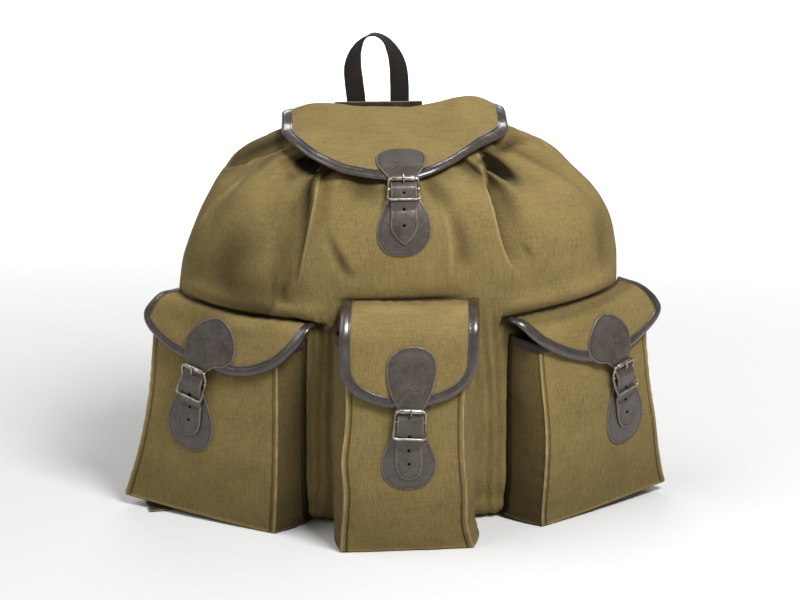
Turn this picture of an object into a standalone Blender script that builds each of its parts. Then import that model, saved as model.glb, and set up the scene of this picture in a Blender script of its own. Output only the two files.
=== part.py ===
"""Hunting rucksack of olive canvas with dark leather trim.

A gathered bag with a bound lid, three box pockets with bound flaps, four strap-and-buckle
closures, a webbing carry loop and two leather shoulder straps with rings.
Units are metres. +Z is up, the front faces -Y, and the origin is on the ground under the
middle of the rucksack.
"""

import math
from collections import namedtuple

import bmesh
import bpy
import numpy as np

# Cloth, leather, metal and clearance
CANVAS = 0.0018
LID_CANVAS = 0.0020
LEATHER = 0.0020
BINDING_LEATHER = 0.0012
WEBBING = 0.0018
GAP = 0.0004

# Everything below is measured from the bag's own axis; the rucksack's middle lies in front of it
MIDDLE_BACK = -0.0129

# Bag: the outline at a height is a curve through these reaches, squarer at the back
Level = namedtuple("Level", "height centre half_width front middle back front_power")
BAG_LEVELS = (
    Level(0.000, centre=0.000, half_width=0.242, front=-0.058, middle=0.034, back=0.094, front_power=1.00),
    Level(0.006, centre=0.000, half_width=0.252, front=-0.068, middle=0.034, back=0.100, front_power=1.00),
    Level(0.030, centre=0.000, half_width=0.259, front=-0.076, middle=0.033, back=0.102, front_power=1.00),
    Level(0.100, centre=0.000, half_width=0.261, front=-0.080, middle=0.031, back=0.102, front_power=1.00),
    Level(0.180, centre=0.000, half_width=0.258, front=-0.084, middle=0.029, back=0.102, front_power=0.98),
    Level(0.250, centre=0.002, half_width=0.252, front=-0.092, middle=0.027, back=0.102, front_power=0.94),
    Level(0.306, centre=0.005, half_width=0.241, front=-0.096, middle=0.024, back=0.102, front_power=0.88),
    Level(0.353, centre=0.006, half_width=0.222, front=-0.091, middle=0.022, back=0.102, front_power=0.86),
    Level(0.385, centre=0.004, half_width=0.200, front=-0.079, middle=0.022, back=0.100, front_power=0.86),
    Level(0.408, centre=0.001, half_width=0.178, front=-0.065, middle=0.023, back=0.098, front_power=0.86),
    Level(0.424, centre=0.000, half_width=0.150, front=-0.049, middle=0.025, back=0.095, front_power=0.86),
    Level(0.433, centre=0.000, half_width=0.124, front=-0.036, middle=0.027, back=0.091, front_power=0.86),
    Level(0.440, centre=0.000, half_width=0.106, front=-0.026, middle=0.030, back=0.087, front_power=0.86),
)
MOUTH_DROP = 0.026
MOUTH_DROP_LOW = 0.365
BACK_POWER = 0.46
FLAT_BACK = 1.10
FRONT_SIDES = 16
BACK_SIDES = 6
FRONT_SHARE = 0.27
BAG_ROWS = (0.0, 0.006, 0.030, 0.080, 0.145, 0.210, 0.250, 0.290, 0.330, 0.365, 0.393, 0.413, 0.428, 0.440)
BASE_RING = 0.55

# Folds of the gathered cloth: place is a share of the way round from the front middle
Fold = namedtuple("Fold", "place width depth low")
FOLDS = (
    Fold(place=-0.098, width=0.013, depth=0.020, low=0.285),
    Fold(place=0.098, width=0.013, depth=0.020, low=0.285),
    Fold(place=-0.150, width=0.016, depth=0.012, low=0.320),
    Fold(place=0.156, width=0.018, depth=0.014, low=0.310),
    Fold(place=-0.215, width=0.018, depth=0.018, low=0.300),
    Fold(place=0.215, width=0.018, depth=0.018, low=0.300),
    Fold(place=-0.045, width=0.014, depth=0.006, low=0.340),
    Fold(place=0.050, width=0.014, depth=0.006, low=0.340),
    Fold(place=-0.300, width=0.016, depth=0.010, low=0.340),
    Fold(place=0.300, width=0.016, depth=0.010, low=0.340),
)
FOLD_FULL = 0.110

# The full side pockets press the bag's wall in behind them
PRESS_PLACE = 0.172
PRESS_WIDTH = 0.050
PRESS_DEPTH = 0.026
PRESS_HEIGHTS = (0.0, 0.07, 0.215, 0.262)

# Box pockets, seen from the right-hand side of the rucksack; the left one is its mirror
PocketLevel = namedtuple("PocketLevel", "height inner_x inner_y outer_x outer_y lift")
SIDE_POCKET = (
    PocketLevel(height=0.000, inner_x=0.150, inner_y=-0.092, outer_x=0.316, outer_y=0.014, lift=0.012),
    PocketLevel(height=0.060, inner_x=0.147, inner_y=-0.101, outer_x=0.298, outer_y=0.004, lift=0.010),
    PocketLevel(height=0.130, inner_x=0.145, inner_y=-0.098, outer_x=0.284, outer_y=0.002, lift=0.007),
    PocketLevel(height=0.210, inner_x=0.144, inner_y=-0.086, outer_x=0.276, outer_y=0.006, lift=0.005),
)
CENTRE_POCKET = (
    PocketLevel(height=0.000, inner_x=-0.073, inner_y=-0.152, outer_x=0.073, outer_y=-0.148, lift=0.0),
    PocketLevel(height=0.060, inner_x=-0.070, inner_y=-0.158, outer_x=0.070, outer_y=-0.155, lift=0.0),
    PocketLevel(height=0.130, inner_x=-0.068, inner_y=-0.154, outer_x=0.070, outer_y=-0.152, lift=0.0),
    PocketLevel(height=0.236, inner_x=-0.065, inner_y=-0.142, outer_x=0.070, outer_y=-0.140, lift=0.0),
)
LEFT_SEAMS = (0.092, 0.242)
CENTRE_SEAMS = (-0.056, 0.056)
RIGHT_SEAMS = (0.100, 0.242)
SIDE_GUSSET_BULGE = 0.001
CENTRE_GUSSET_BULGE = 0.009
FACE_BULGE = 0.005
END_BULGE = 0.35
SIDE_SEAM_OUT = 0.0022
CENTRE_SEAM_OUT = 0.0014
SEAM_RIDGE = 0.004
POCKET_ROWS = (0.006, 0.030, 0.080, 0.145, 0.210)
FACE_STEPS = (0.0, 0.14, 0.32, 0.5, 0.68, 0.86, 1.0)
GUSSET_STEPS = (0.0, 0.4, 0.75)
BASE_STEPS = (0.0, 0.5)
TAPE_WIDTH = 0.008
TAPE_GAP = 0.0006
BINDING_GAP = 0.0009

# Pocket flaps: drop runs from the seam over the front edge to the lowest point
Flap = namedtuple(
    "Flap", "seams inner_height outer_height rise drop straight half inward rounding down_shares"
)
CENTRE_FLAP = Flap(
    seams=(-0.056, 0.060), inner_height=0.268, outer_height=0.268, rise=0.010,
    drop=0.139, straight=0.094, half=0.0710, inward=0.0, rounding=2.2,
    down_shares=(0.0, 0.13, 0.23, 0.35, 0.47, 0.63, 0.81, 1.0),
)
LEFT_FLAP = Flap(
    seams=(0.081, 0.238), inner_height=0.240, outer_height=0.252, rise=0.010,
    drop=0.0705, straight=0.024, half=0.108, inward=0.013, rounding=2.0,
    down_shares=(0.0, 0.20, 0.38, 0.60, 0.80, 1.0),
)
RIGHT_FLAP = Flap(
    seams=(0.094, 0.238), inner_height=0.236, outer_height=0.252, rise=0.010,
    drop=0.067, straight=0.030, half=0.1145, inward=0.0, rounding=2.5,
    down_shares=(0.0, 0.20, 0.38, 0.60, 0.80, 1.0),
)
OVER = 0.0071
FLAP_EDGE_BACK = 0.0020
SEAM_OUT = 0.0032
FLAP_ACROSS = (0.0, 0.17, 0.34, 0.5, 0.66, 0.83, 1.0)
FLAP_CORNER = 0.80

# Lid over the gathered mouth
LID_HALF = 0.1240
LID_DROP = 0.214
LID_STRAIGHT = 0.100
LID_ROUNDING = 1.60
LID_DROOP = 0.010
LidRow = namedtuple("LidRow", "back height hump droop")
LID_PROFILE = (
    LidRow(back=0.1044, height=0.4080, hump=0.0, droop=0.0),
    LidRow(back=0.1004, height=0.4370, hump=0.3, droop=0.5),
    LidRow(back=0.0840, height=0.4540, hump=1.0, droop=1.0),
    LidRow(back=0.0320, height=0.4400, hump=0.7, droop=0.5),
    LidRow(back=-0.0250, height=0.4200, hump=0.2, droop=0.5),
    LidRow(back=-0.0720, height=0.3975, hump=0.0, droop=0.5),
)
LID_FRONT = (0.3850, 0.3700, 0.3500, 0.3000)
Hump = namedtuple("Hump", "across width lift")
LID_HUMPS = (
    Hump(across=-0.090, width=0.030, lift=0.004),
    Hump(across=0.000, width=0.050, lift=-0.0055),
    Hump(across=0.090, width=0.034, lift=0.0095),
)
LID_ACROSS = (0.0, 0.13, 0.26, 0.38, 0.5, 0.62, 0.74, 0.87, 1.0)
LID_DOWN = (0.0, 0.17, 0.27, 0.36, 0.52, 0.68, 0.84, 1.0)

BINDING_WIDTH = 0.0095
INNER_LINE = 0.0110
BINDING_START = 0.0060

# Strap-and-buckle closure: s runs down from the roller; out is off the flap for the strap, and
# off the cloth under it for the strap's tip and the lower patch
StrapRow = namedtuple("StrapRow", "s out half_width")
STRAP = (
    StrapRow(s=-0.0670, out=0.0036, half_width=0.0060),
    StrapRow(s=-0.0635, out=0.0036, half_width=0.0155),
    StrapRow(s=-0.0550, out=0.0036, half_width=0.0245),
    StrapRow(s=-0.0440, out=0.0036, half_width=0.0267),
    StrapRow(s=-0.0310, out=0.0038, half_width=0.0256),
    StrapRow(s=-0.0180, out=0.0042, half_width=0.0218),
    StrapRow(s=-0.0060, out=0.0040, half_width=0.0160),
    StrapRow(s=0.0000, out=0.0034, half_width=0.0132),
    StrapRow(s=0.0065, out=0.0053, half_width=0.0132),
    StrapRow(s=0.0130, out=0.0067, half_width=0.0132),
    StrapRow(s=0.0205, out=0.0046, half_width=0.0132),
    StrapRow(s=0.0310, out=0.0012, half_width=0.0132),
)
ROUND_TIP = (
    StrapRow(s=0.0460, out=0.0044, half_width=0.0132),
    StrapRow(s=0.0600, out=0.0034, half_width=0.0130),
    StrapRow(s=0.0680, out=0.0033, half_width=0.0098),
    StrapRow(s=0.0720, out=0.0033, half_width=0.0030),
)
POINTED_TIP = (
    StrapRow(s=0.0460, out=0.0044, half_width=0.0132),
    StrapRow(s=0.0610, out=0.0034, half_width=0.0130),
    StrapRow(s=0.0700, out=0.0033, half_width=0.0072),
    StrapRow(s=0.0765, out=0.0033, half_width=0.0010),
)
LOWER_PATCH = (
    StrapRow(s=0.0860, out=0.0011, half_width=0.0085),
    StrapRow(s=0.0815, out=0.0011, half_width=0.0190),
    StrapRow(s=0.0720, out=0.0011, half_width=0.0270),
    StrapRow(s=0.0610, out=0.0011, half_width=0.0290),
    StrapRow(s=0.0500, out=0.0011, half_width=0.0270),
    StrapRow(s=0.0400, out=0.0013, half_width=0.0225),
    StrapRow(s=0.0320, out=0.0024, half_width=0.0180),
    StrapRow(s=0.0230, out=0.0047, half_width=0.0125),
)
STRAP_LEATHER = 0.0022
PATCH_LEATHER = 0.0014
HOLE_RADIUS = 0.0022
HOLE_PLACES = (0.0078, 0.0240, 0.0400, 0.0540)
HOLE_SIDES = 6
HOLE_REACH = (-0.010, 0.014)
EDGE_TO_ROLLER = 0.0036
CLOSURE_DOWN = (0.0, 0.0, 0.0060)
LID_PATCH_SCALE = 0.86
LID_LOWER_SCALE = 0.98
SIDE_LOWER_SCALE = 1.12
CLOSURE_ACROSS = (-0.029, 0.001, 0.033)
SIDE_PATCH_TURN = 34.0
SIDE_BUCKLE_LEAN = 8.0
CENTRE_LINE = (-0.080, 0.110, 0.0005)
PATCH_TURN_FADE = (-0.045, -0.004)
LEAN_FADE = (0.030, 0.055)

# Buckle: a bent wire frame with a middle bar, a roller and a prong, as (s, out) places; the
# frame's sides are (across, s, out)
FRAME_HALF_WIDTH = 0.0160
WIRE_RADIUS = 0.0015
MIDDLE_BAR_RADIUS = 0.0014
WIRE_SIDES = 6
TOP_BAR = (0.0000, 0.0075)
MIDDLE_BAR = (0.0130, 0.0018)
LOW_BAR = (0.0310, 0.0045)
FRAME_SIDE = (
    (0.0158, 0.0030, 0.0066), (0.0160, 0.0070, 0.0040), (0.0160, 0.0130, 0.0018),
    (0.0167, 0.0210, 0.0030), (0.0174, 0.0280, 0.0042),
)
CORNER = 0.0030
ROLLER_RADIUS = 0.0027
ROLLER_BORE = 0.0019
ROLLER_HALF_LENGTH = 0.0122
ROLLER_SIDES = 10
PRONG_RADIUS = 0.0009
PRONG = (
    (0.0150, -0.0005), (0.0130, -0.0009), (0.0111, -0.0001), (0.0102, 0.0018), (0.0092, 0.0036),
    (0.0070, 0.0068), (0.0034, 0.0107), (0.0000, 0.0116), (-0.0034, 0.0115),
)
SLOT = (0.0076, 0.0176, 0.0056)
SLOT_REACH = (-0.004, 0.008)

# Carry loop, yoke and shoulder straps on the back
BACK_CENTRE = -0.016
BACK_FACE = 0.102
YOKE_HALF_WIDTH = 0.050
YOKE_ROWS = ((0.352, 0.1047), (0.392, 0.1066), (0.424, 0.1066), (0.440, 0.1042), (0.453, 0.1007))
LOOP_WIDTH = 0.020
LoopPoint = namedtuple("LoopPoint", "across back height turn")
LOOP = (
    LoopPoint(across=0.0250, back=0.1082, height=0.4040, turn=0),
    LoopPoint(across=0.0250, back=0.1082, height=0.4300, turn=0),
    LoopPoint(across=0.0252, back=0.1050, height=0.4540, turn=0),
    LoopPoint(across=0.0262, back=0.1045, height=0.4760, turn=5),
    LoopPoint(across=0.0258, back=0.1045, height=0.4955, turn=25),
    LoopPoint(across=0.0200, back=0.1045, height=0.5140, turn=55),
    LoopPoint(across=0.0108, back=0.1045, height=0.5262, turn=78),
    LoopPoint(across=0.0000, back=0.1045, height=0.5305, turn=90),
)
BackPoint = namedtuple("BackPoint", "across back height half_width")
SHOULDER_STRAP = (
    BackPoint(across=0.034, back=0.1093, height=0.394, half_width=0.018),
    BackPoint(across=0.036, back=0.1093, height=0.362, half_width=0.018),
    BackPoint(across=0.048, back=0.1180, height=0.330, half_width=0.019),
    BackPoint(across=0.074, back=0.1360, height=0.285, half_width=0.021),
    BackPoint(across=0.108, back=0.1460, height=0.230, half_width=0.021),
    BackPoint(across=0.142, back=0.1430, height=0.175, half_width=0.020),
    BackPoint(across=0.170, back=0.1320, height=0.130, half_width=0.014),
)
SHOULDER_LEATHER = 0.0036
TAIL_LEATHER = 0.0022
RING_RADIUS = 0.0018
RING_LENGTH = 0.0190
RING_HALF_WIDTH = 0.0170
RING_CORNER = 0.0034
RING_BOW = 0.0020
TURNED_BACK = 0.010
TAIL = (
    BackPoint(across=0.192, back=0.1170, height=0.085, half_width=0.0125),
    BackPoint(across=0.203, back=0.1080, height=0.056, half_width=0.0125),
    BackPoint(across=0.208, back=0.1058, height=0.034, half_width=0.0125),
)
ANCHOR_HALF = 0.022
ANCHOR_HEIGHTS = (0.018, 0.066)
STRAP_END = (
    BackPoint(across=-0.276, back=-0.014, height=0.0012, half_width=0.0110),
    BackPoint(across=-0.281, back=0.020, height=0.0012, half_width=0.0115),
    BackPoint(across=-0.278, back=0.050, height=0.0013, half_width=0.0115),
    BackPoint(across=-0.266, back=0.074, height=0.0016, half_width=0.0115),
    BackPoint(across=-0.2392, back=0.0848, height=0.0020, half_width=0.0115),
)

SRGB_CANVAS = (0.47, 0.39, 0.22)
SRGB_LEATHER = (0.27, 0.23, 0.21)
SRGB_BINDING = (0.30, 0.26, 0.24)
SRGB_TAPE = (0.20, 0.17, 0.15)
SRGB_WEBBING = (0.13, 0.11, 0.09)
SRGB_STEEL = (0.66, 0.64, 0.60)


def clear_scene():
    for obj in list(bpy.data.objects):
        bpy.data.objects.remove(obj, do_unlink=True)


def material(name, srgb, roughness, metallic=0.0):
    made = bpy.data.materials.new(name)
    made.use_nodes = True
    shader = made.node_tree.nodes["Principled BSDF"]
    shader.inputs["Base Color"].default_value = (*[c**2.2 for c in srgb], 1.0)
    shader.inputs["Roughness"].default_value = roughness
    shader.inputs["Metallic"].default_value = metallic
    return made


def smooth_curve(places, values, at):
    """Cubic Hermite curve through values at places, read at the given places."""
    places, values, at = np.asarray(places, float), np.asarray(values, float), np.asarray(at, float)
    slopes = np.gradient(values, places, axis=0)
    left = np.clip(np.searchsorted(places, at) - 1, 0, len(places) - 2)
    span = places[left + 1] - places[left]
    t = (at - places[left]) / span
    if values.ndim > 1:
        t, span = t[..., None], span[..., None]
    return (
        (2 * t**3 - 3 * t**2 + 1) * values[left]
        + (t**3 - 2 * t**2 + t) * span * slopes[left]
        + (3 * t**2 - 2 * t**3) * values[left + 1]
        + (t**3 - t**2) * span * slopes[left + 1]
    )


def smooth_step(low, high, at):
    t = np.clip((np.asarray(at, float) - low) / (high - low), 0, 1)
    return t * t * (3 - 2 * t)


def unit(v):
    return v / np.linalg.norm(v, axis=-1, keepdims=True)


def bag_level(height):
    """(centre, half width, front, middle, back, front power) of the bag at a height."""
    table = np.array(BAG_LEVELS)
    return smooth_curve(table[:, 0], table[:, 1:], height)


def bag_outline(height):
    """Shares of the way round and points of the smooth outline at a height."""
    centre, half, front, middle, back, front_power = bag_level(height)
    angle = np.linspace(0, 2 * math.pi, 721)
    s, c = np.sin(angle), np.cos(angle)
    ahead = c >= 0
    x = centre + half * np.sign(s) * np.abs(s) ** np.where(ahead, front_power, BACK_POWER)
    forward = (front - middle) * np.abs(c) ** front_power
    rearward = (back - middle) * np.minimum(1, FLAT_BACK * np.abs(c) ** BACK_POWER)
    y = middle + np.where(ahead, forward, rearward)
    along = np.concatenate([[0], np.cumsum(np.hypot(np.diff(x), np.diff(y)))])
    return along / along[-1], x, y


def fold_depth(share, height):
    """How far the gathers pull the cloth in: each fold deepens from its low end to the mouth."""
    total = np.zeros(np.shape(share))
    for fold in FOLDS:
        away = (share - fold.place + 0.5) % 1 - 0.5
        strength = smooth_step(fold.low, fold.low + FOLD_FULL, height)
        total = total + fold.depth * strength * np.exp(-((away / fold.width) ** 2))
    return total


def press_depth(share, height):
    """How far the side pockets press the wall in."""
    low, full, fade, end = PRESS_HEIGHTS
    strength = smooth_step(low, full, height) * (1 - smooth_step(fade, end, height))
    away = np.minimum(share % 1, 1 - share % 1) - PRESS_PLACE
    return PRESS_DEPTH * strength * np.exp(-((away / PRESS_WIDTH) ** 2))


def bag_points(share, height, out=0.0, shaped=True):
    """Points on the bag's outer face at shares of the way round, moved outwards by out."""
    share = np.asarray(share, float)
    shares, x, y = bag_outline(height)
    step = 0.004
    here, ahead, behind = [
        np.stack([np.interp((share + d) % 1, shares, c) for c in (x, y)], -1) for d in (0, step, -step)
    ]
    tangent = unit(ahead - behind)
    normal = np.stack([tangent[..., 1], -tangent[..., 0]], -1)
    if shaped:
        out = out - fold_depth(share, height) - press_depth(share, height)
    point = here + normal * np.asarray(out)[..., None]
    top = BAG_LEVELS[-1]
    toward_front = np.clip((0.055 - point[..., 1]) / (0.055 - top.front), 0, 1)
    drop = MOUTH_DROP * smooth_step(MOUTH_DROP_LOW, top.height, height) * toward_front
    return np.concatenate([point, (height - drop)[..., None]], -1)


def bag_shares():
    """Places of the mesh's upright lines: close at the front and sides, wide at the back."""
    front = np.linspace(0, FRONT_SHARE, FRONT_SIDES + 1)
    back = np.linspace(FRONT_SHARE, 0.5, BACK_SIDES + 1)[1:]
    half = np.concatenate([front, back])
    return np.concatenate([half, 1 - half[-2:0:-1]])


def wall_point(share, height, out):
    """A point on the flat facets of the bag's mesh, moved outwards by out."""
    shares = np.append(bag_shares(), 1.0)
    k = int(np.clip(np.searchsorted(shares, share % 1, side="right") - 1, 0, len(shares) - 2))
    r = int(np.clip(np.searchsorted(BAG_ROWS, height, side="right") - 1, 0, len(BAG_ROWS) - 2))
    a = (share % 1 - shares[k]) / (shares[k + 1] - shares[k])
    b = (height - BAG_ROWS[r]) / (BAG_ROWS[r + 1] - BAG_ROWS[r])
    low, high = [bag_points(shares[k : k + 2], BAG_ROWS[i]) for i in (r, r + 1)]
    normal = unit(np.cross(low[1] - low[0], high[0] - low[0]))
    mixed = low[0] * (1 - a) * (1 - b) + low[1] * a * (1 - b) + high[0] * (1 - a) * b + high[1] * a * b
    return mixed + normal * out


def bag_front(x, height, out):
    """Point of the smooth front at an across place, moved forwards by out."""
    centre, half, front, middle, _, front_power = bag_level(height)
    s = np.clip(abs(x - centre) / half, 0, 0.97) ** (1 / front_power)
    y = middle + (front - middle) * (1 - s * s) ** (front_power / 2)
    return np.array([x, y - out, height])


def mesh_object(name, vertices, faces, made_of, outward=False):
    """A mesh object with shared corners welded and smooth shading below 40 degrees."""
    mesh = bpy.data.meshes.new(name)
    mesh.from_pydata([(x, y - MIDDLE_BACK, z) for x, y, z in vertices], [], faces)
    mesh.materials.append(made_of)
    obj = bpy.data.objects.new(name, mesh)
    bpy.context.scene.collection.objects.link(obj)
    weld = bmesh.new()
    weld.from_mesh(mesh)
    bmesh.ops.remove_doubles(weld, verts=weld.verts, dist=1e-5)
    if outward:
        bmesh.ops.recalc_face_normals(weld, faces=weld.faces)
    weld.to_mesh(mesh)
    weld.free()
    mesh.shade_smooth()
    mesh.set_sharp_from_angle(angle=math.radians(40))
    return obj


def grid_faces(rows, columns, closed=False, turned=False):
    faces = []
    for i in range(rows - 1):
        for j in range(columns if closed else columns - 1):
            k = (j + 1) % columns
            quad = (i * columns + j, i * columns + k, (i + 1) * columns + k, (i + 1) * columns + j)
            faces.append(quad[::-1] if turned else quad)
    return faces


def add_wall(obj, thickness, offset=-1.0):
    wall = obj.modifiers.new("wall", "SOLIDIFY")
    wall.thickness = thickness
    wall.offset = offset
    wall.use_even_offset = True
    return obj


def sheet(name, grid, thickness, made_of, closed=False, turned=False, offset=-1.0):
    """A grid of points made a wall; unturned rows go up and columns to the right, seen from outside."""
    grid = np.asarray(grid, float)
    rows, columns = grid.shape[:2]
    faces = grid_faces(rows, columns, closed, turned)
    return add_wall(mesh_object(name, grid.reshape(-1, 3), faces, made_of), thickness, offset)


def boolean(obj, other, operation):
    """Boolean with the other object, which is kept out of the render."""
    other.hide_render = True
    other.display_type = "WIRE"
    tool = obj.modifiers.new(operation.lower(), "BOOLEAN")
    tool.operation = operation
    tool.solver = "EXACT"
    tool.object = other


def tube(name, path, radius, sides, reference, made_of, cyclic=False):
    """A round bar along a path, closed by caps or into a ring; reference sets the section's turn."""
    path = np.asarray(path, float)
    if cyclic:
        tangent = unit(np.roll(path, -1, 0) - np.roll(path, 1, 0))
    else:
        tangent = unit(np.gradient(path, axis=0))
    side = unit(np.cross(tangent, reference))
    third = np.cross(side, tangent)
    angle = 2 * math.pi * (np.arange(sides) + 0.5) / sides
    ring = np.cos(angle)[None, :, None] * side[:, None] + np.sin(angle)[None, :, None] * third[:, None]
    vertices = path[:, None] + radius * ring
    rows = len(path)
    if cyclic:
        vertices = np.concatenate([vertices, vertices[:1]])
        rows += 1
    faces = grid_faces(rows, sides, closed=True)
    if not cyclic:
        faces += [tuple(range(sides)), tuple(reversed(range((rows - 1) * sides, rows * sides)))]
    return mesh_object(name, vertices.reshape(-1, 3), faces, made_of, outward=True)


def block(name, corner, across, down, out, made_of):
    """A box from a corner and its three edge vectors."""
    steps = [(i, j, k) for i in (0, 1) for j in (0, 1) for k in (0, 1)]
    vertices = [corner + i * across + j * down + k * out for i, j, k in steps]
    faces = [(0, 1, 3, 2), (4, 6, 7, 5), (0, 4, 5, 1), (2, 3, 7, 6), (0, 2, 6, 4), (1, 5, 7, 3)]
    return mesh_object(name, vertices, faces, made_of, outward=True)


def mitred_normals(edge, inward):
    """At each point of an edge, the vector that keeps offset walls parallel on both sides of it."""
    along = unit(np.diff(edge, axis=0))
    before = unit(np.cross(along, inward[:-1]))
    after = unit(np.cross(along, inward[1:]))
    normal = unit(before + after)
    first = np.concatenate([normal[:1], normal])
    second = np.concatenate([normal, normal[-1:]])
    return (first + second) / (1 + np.sum(first * second, -1, keepdims=True))


def binding(name, edge, inward, shift, wall, made_of, width=BINDING_WIDTH, gap=BINDING_GAP):
    """A folded strip over a cloth edge: a U section carried along the edge.

    Its walls are split into triangles along the same diagonals as the flap's outer strip.
    """
    normal = mitred_normals(edge, inward)
    half_gap = wall / 2 + gap
    far = half_gap + BINDING_LEATHER
    fold = BINDING_LEATHER + gap
    section = (
        (-fold, -far), (-fold, far), (width, far), (width, half_gap),
        (-gap, half_gap), (-gap, -half_gap), (width, -half_gap), (width, -far),
    )
    grid = np.stack([edge + a * inward + (b + shift) * normal for a, b in section], 1)
    rows, columns = grid.shape[:2]
    faces = []
    for a, b, c, d in grid_faces(rows, columns, closed=True):
        outward_bound = section[a % columns][0] < section[b % columns][0]
        faces += [(b, c, d), (b, d, a)] if outward_bound else [(a, b, c), (a, c, d)]
    for start in (0, (rows - 1) * columns):
        faces += [tuple(start + k for k in q) for q in ((0, 5, 6, 7), (0, 1, 4, 5), (1, 2, 3, 4))]
    return mesh_object(name, grid.reshape(-1, 3), faces, made_of, outward=True)


def surface_normal(surface, across, down, step=0.002):
    right = surface(across + step, down) - surface(across - step, down)
    low = surface(across, down + step) - surface(across, down - step)
    return unit(np.cross(low, right))


def column_point(profile, down):
    """The point of a smooth profile at a length down it."""
    chord = np.concatenate([[0], np.cumsum(np.linalg.norm(np.diff(profile, axis=0), axis=1))])
    return smooth_curve(chord, profile, down)


def surface_points(column, across, down):
    """Points of a surface made of profiles: column(across) is the profile, down the length along it."""
    across, down = np.broadcast_arrays(np.asarray(across, float), np.asarray(down, float))
    points = [column_point(column(a), d) for a, d in zip(across.ravel(), down.ravel())]
    return np.array(points).reshape(*across.shape, 3)


class Pocket:
    """A box pocket: its front face, its seams on the bag and its flap's surface."""

    def __init__(self, name, levels, seams, seam_out, gusset_bulge, flap, inner_shift=0.0, mirror=1):
        self.name, self.seam_out, self.flap, self.mirror = name, seam_out, flap, mirror
        self.gusset_bulge = gusset_bulge
        table = np.array(levels) + np.array([0, inner_shift, 0, 0, 0, 0])
        flap_seams = flap.seams
        if mirror < 0:
            table = table[:, [0, 3, 4, 1, 2, 5]] * np.array([1, -1, 1, -1, 1, 1])
            seams = (-seams[1], -seams[0])
            flap_seams = (-flap_seams[1], -flap_seams[0])
        self.table, self.seams, self.flap_seams = table, seams, flap_seams
        self.height = table[-1, 0]
        high = self.corners(self.height)
        self.width = np.linalg.norm(high[1] - high[0])
        self.middle = -flap.inward * mirror
        self.right = unit((high[1] - high[0]) * np.array([1, 1, 0]))
        self.outwards = np.cross(self.right, np.array([0, 0, 1.0]))

    def corners(self, z):
        """Left and right front corners at a height, left being at lower x."""
        row = smooth_curve(self.table[:, 0], self.table[:, 1:], z)
        left_lift, right_lift = (0, row[4]) if self.mirror > 0 else (row[4], 0)
        return np.array([[row[0], row[1], z + left_lift], [row[2], row[3], z + right_lift]])

    def face(self, c, z):
        """Front face at a share across and a height, with a soft bulge between the corners."""
        left, right = self.corners(z)
        rise = math.sin(math.pi * min(max(z / self.height, 0), 1))
        bulge = FACE_BULGE * max(0.0, 1 - (2 * c - 1) ** 2) * (END_BULGE + (1 - END_BULGE) * rise)
        return left * (1 - c) + right * c + self.outwards * bulge

    def below(self, point):
        """The face behind a point in front of it, and the way out of the face."""
        z = point[2]
        for _ in range(4):
            left, right = self.corners(z)
            c = (point - left) @ self.right / np.linalg.norm(right - left)
            z += point[2] - self.face(c, z)[2]
        return self.face(c, z), self.outwards

    def section(self, z, seam_height):
        """One level of the pocket: left gusset, front face, right gusset."""
        corners = self.corners(z)
        flare = SEAM_RIDGE * (1 - z / self.height)
        sides = []
        for side in (0, 1):
            seam = wall_point(self.seams[side], seam_height, self.seam_out)
            away = self.right * (1 if side else -1)
            full = [flare * g**4 + self.gusset_bulge * math.sin(math.pi * g) for g in GUSSET_STEPS]
            line = [seam * (1 - g) + corners[side] * g for g in GUSSET_STEPS]
            sides.append([point + away * out for point, out in zip(line, full)])
        return np.array([*sides[0], *[self.face(c, z) for c in FACE_STEPS], *sides[1][::-1]])

    def grid(self):
        """Rows from the back of the base, over the front edge, to the open mouth."""
        front = self.section(0.0, POCKET_ROWS[0])
        places = np.linspace(*self.seams, len(front))
        back = np.array([wall_point(u, POCKET_ROWS[0], self.seam_out) for u in places])
        back[0], back[-1] = front[0], front[-1]
        base = [back * (1 - g) + front * g for g in BASE_STEPS]
        rows = [self.section(z, z) for z in POCKET_ROWS[1:] if z < self.height]
        return np.array([*base, front, *rows, self.section(self.height, self.height)])

    def column(self, across):
        """Profile of the flap: from the seam out over the front edge and down before the face."""
        flap, c = self.flap, 0.5 + (across + self.middle) / self.width
        held = min(max(0.5 + across / flap.half / 2, 0), 1)
        inner = held if self.mirror > 0 else 1 - held
        seam_height = flap.inner_height + (flap.outer_height - flap.inner_height) * inner
        share = self.flap_seams[0] + (self.flap_seams[1] - self.flap_seams[0]) * held
        start = wall_point(share, seam_height, SEAM_OUT)
        over = self.outwards * OVER
        face = [self.face(c, self.height * v) + over for v in (1.0, 0.9, 0.75, 0.5, 0.25, 0.05)]
        lift = np.array([0, 0, flap.rise])
        edge = face[0] - self.outwards * FLAP_EDGE_BACK + lift
        crest = edge * 0.5 + start * 0.5 + lift
        return np.array([start, crest, edge, *face[1:]])

    def surface(self, across, down):
        """Outer face of the flap: across from its middle, down from its seam along the cloth."""
        return surface_points(self.column, across, down)


def lid_column(x):
    """Profile of the lid: back seam, top, and down in front of the bag."""
    lift = sum(hump.lift * math.exp(-(((x - hump.across) / hump.width) ** 2)) for hump in LID_HUMPS)
    droop = LID_DROOP * (x / LID_HALF) ** 4
    points = [(x, row.back, row.height + row.hump * lift - row.droop * droop) for row in LID_PROFILE]
    return np.array(points + [bag_front(x, height, OVER) for height in LID_FRONT])


def lid_below(point):
    """The bag's front behind a point in front of it, and the way out of it."""
    return bag_front(point[0], point[2], 0.0), np.array([0, -1.0, 0])


def lid_surface(across, down):
    return surface_points(lid_column, across, down)


def edge_length(across, half, straight, drop, rounding):
    """Length from the seam to the free edge at an across place: straight sides, round end."""
    return straight + (drop - straight) * (1 - np.abs(across / half) ** rounding) ** (1 / rounding)


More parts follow.
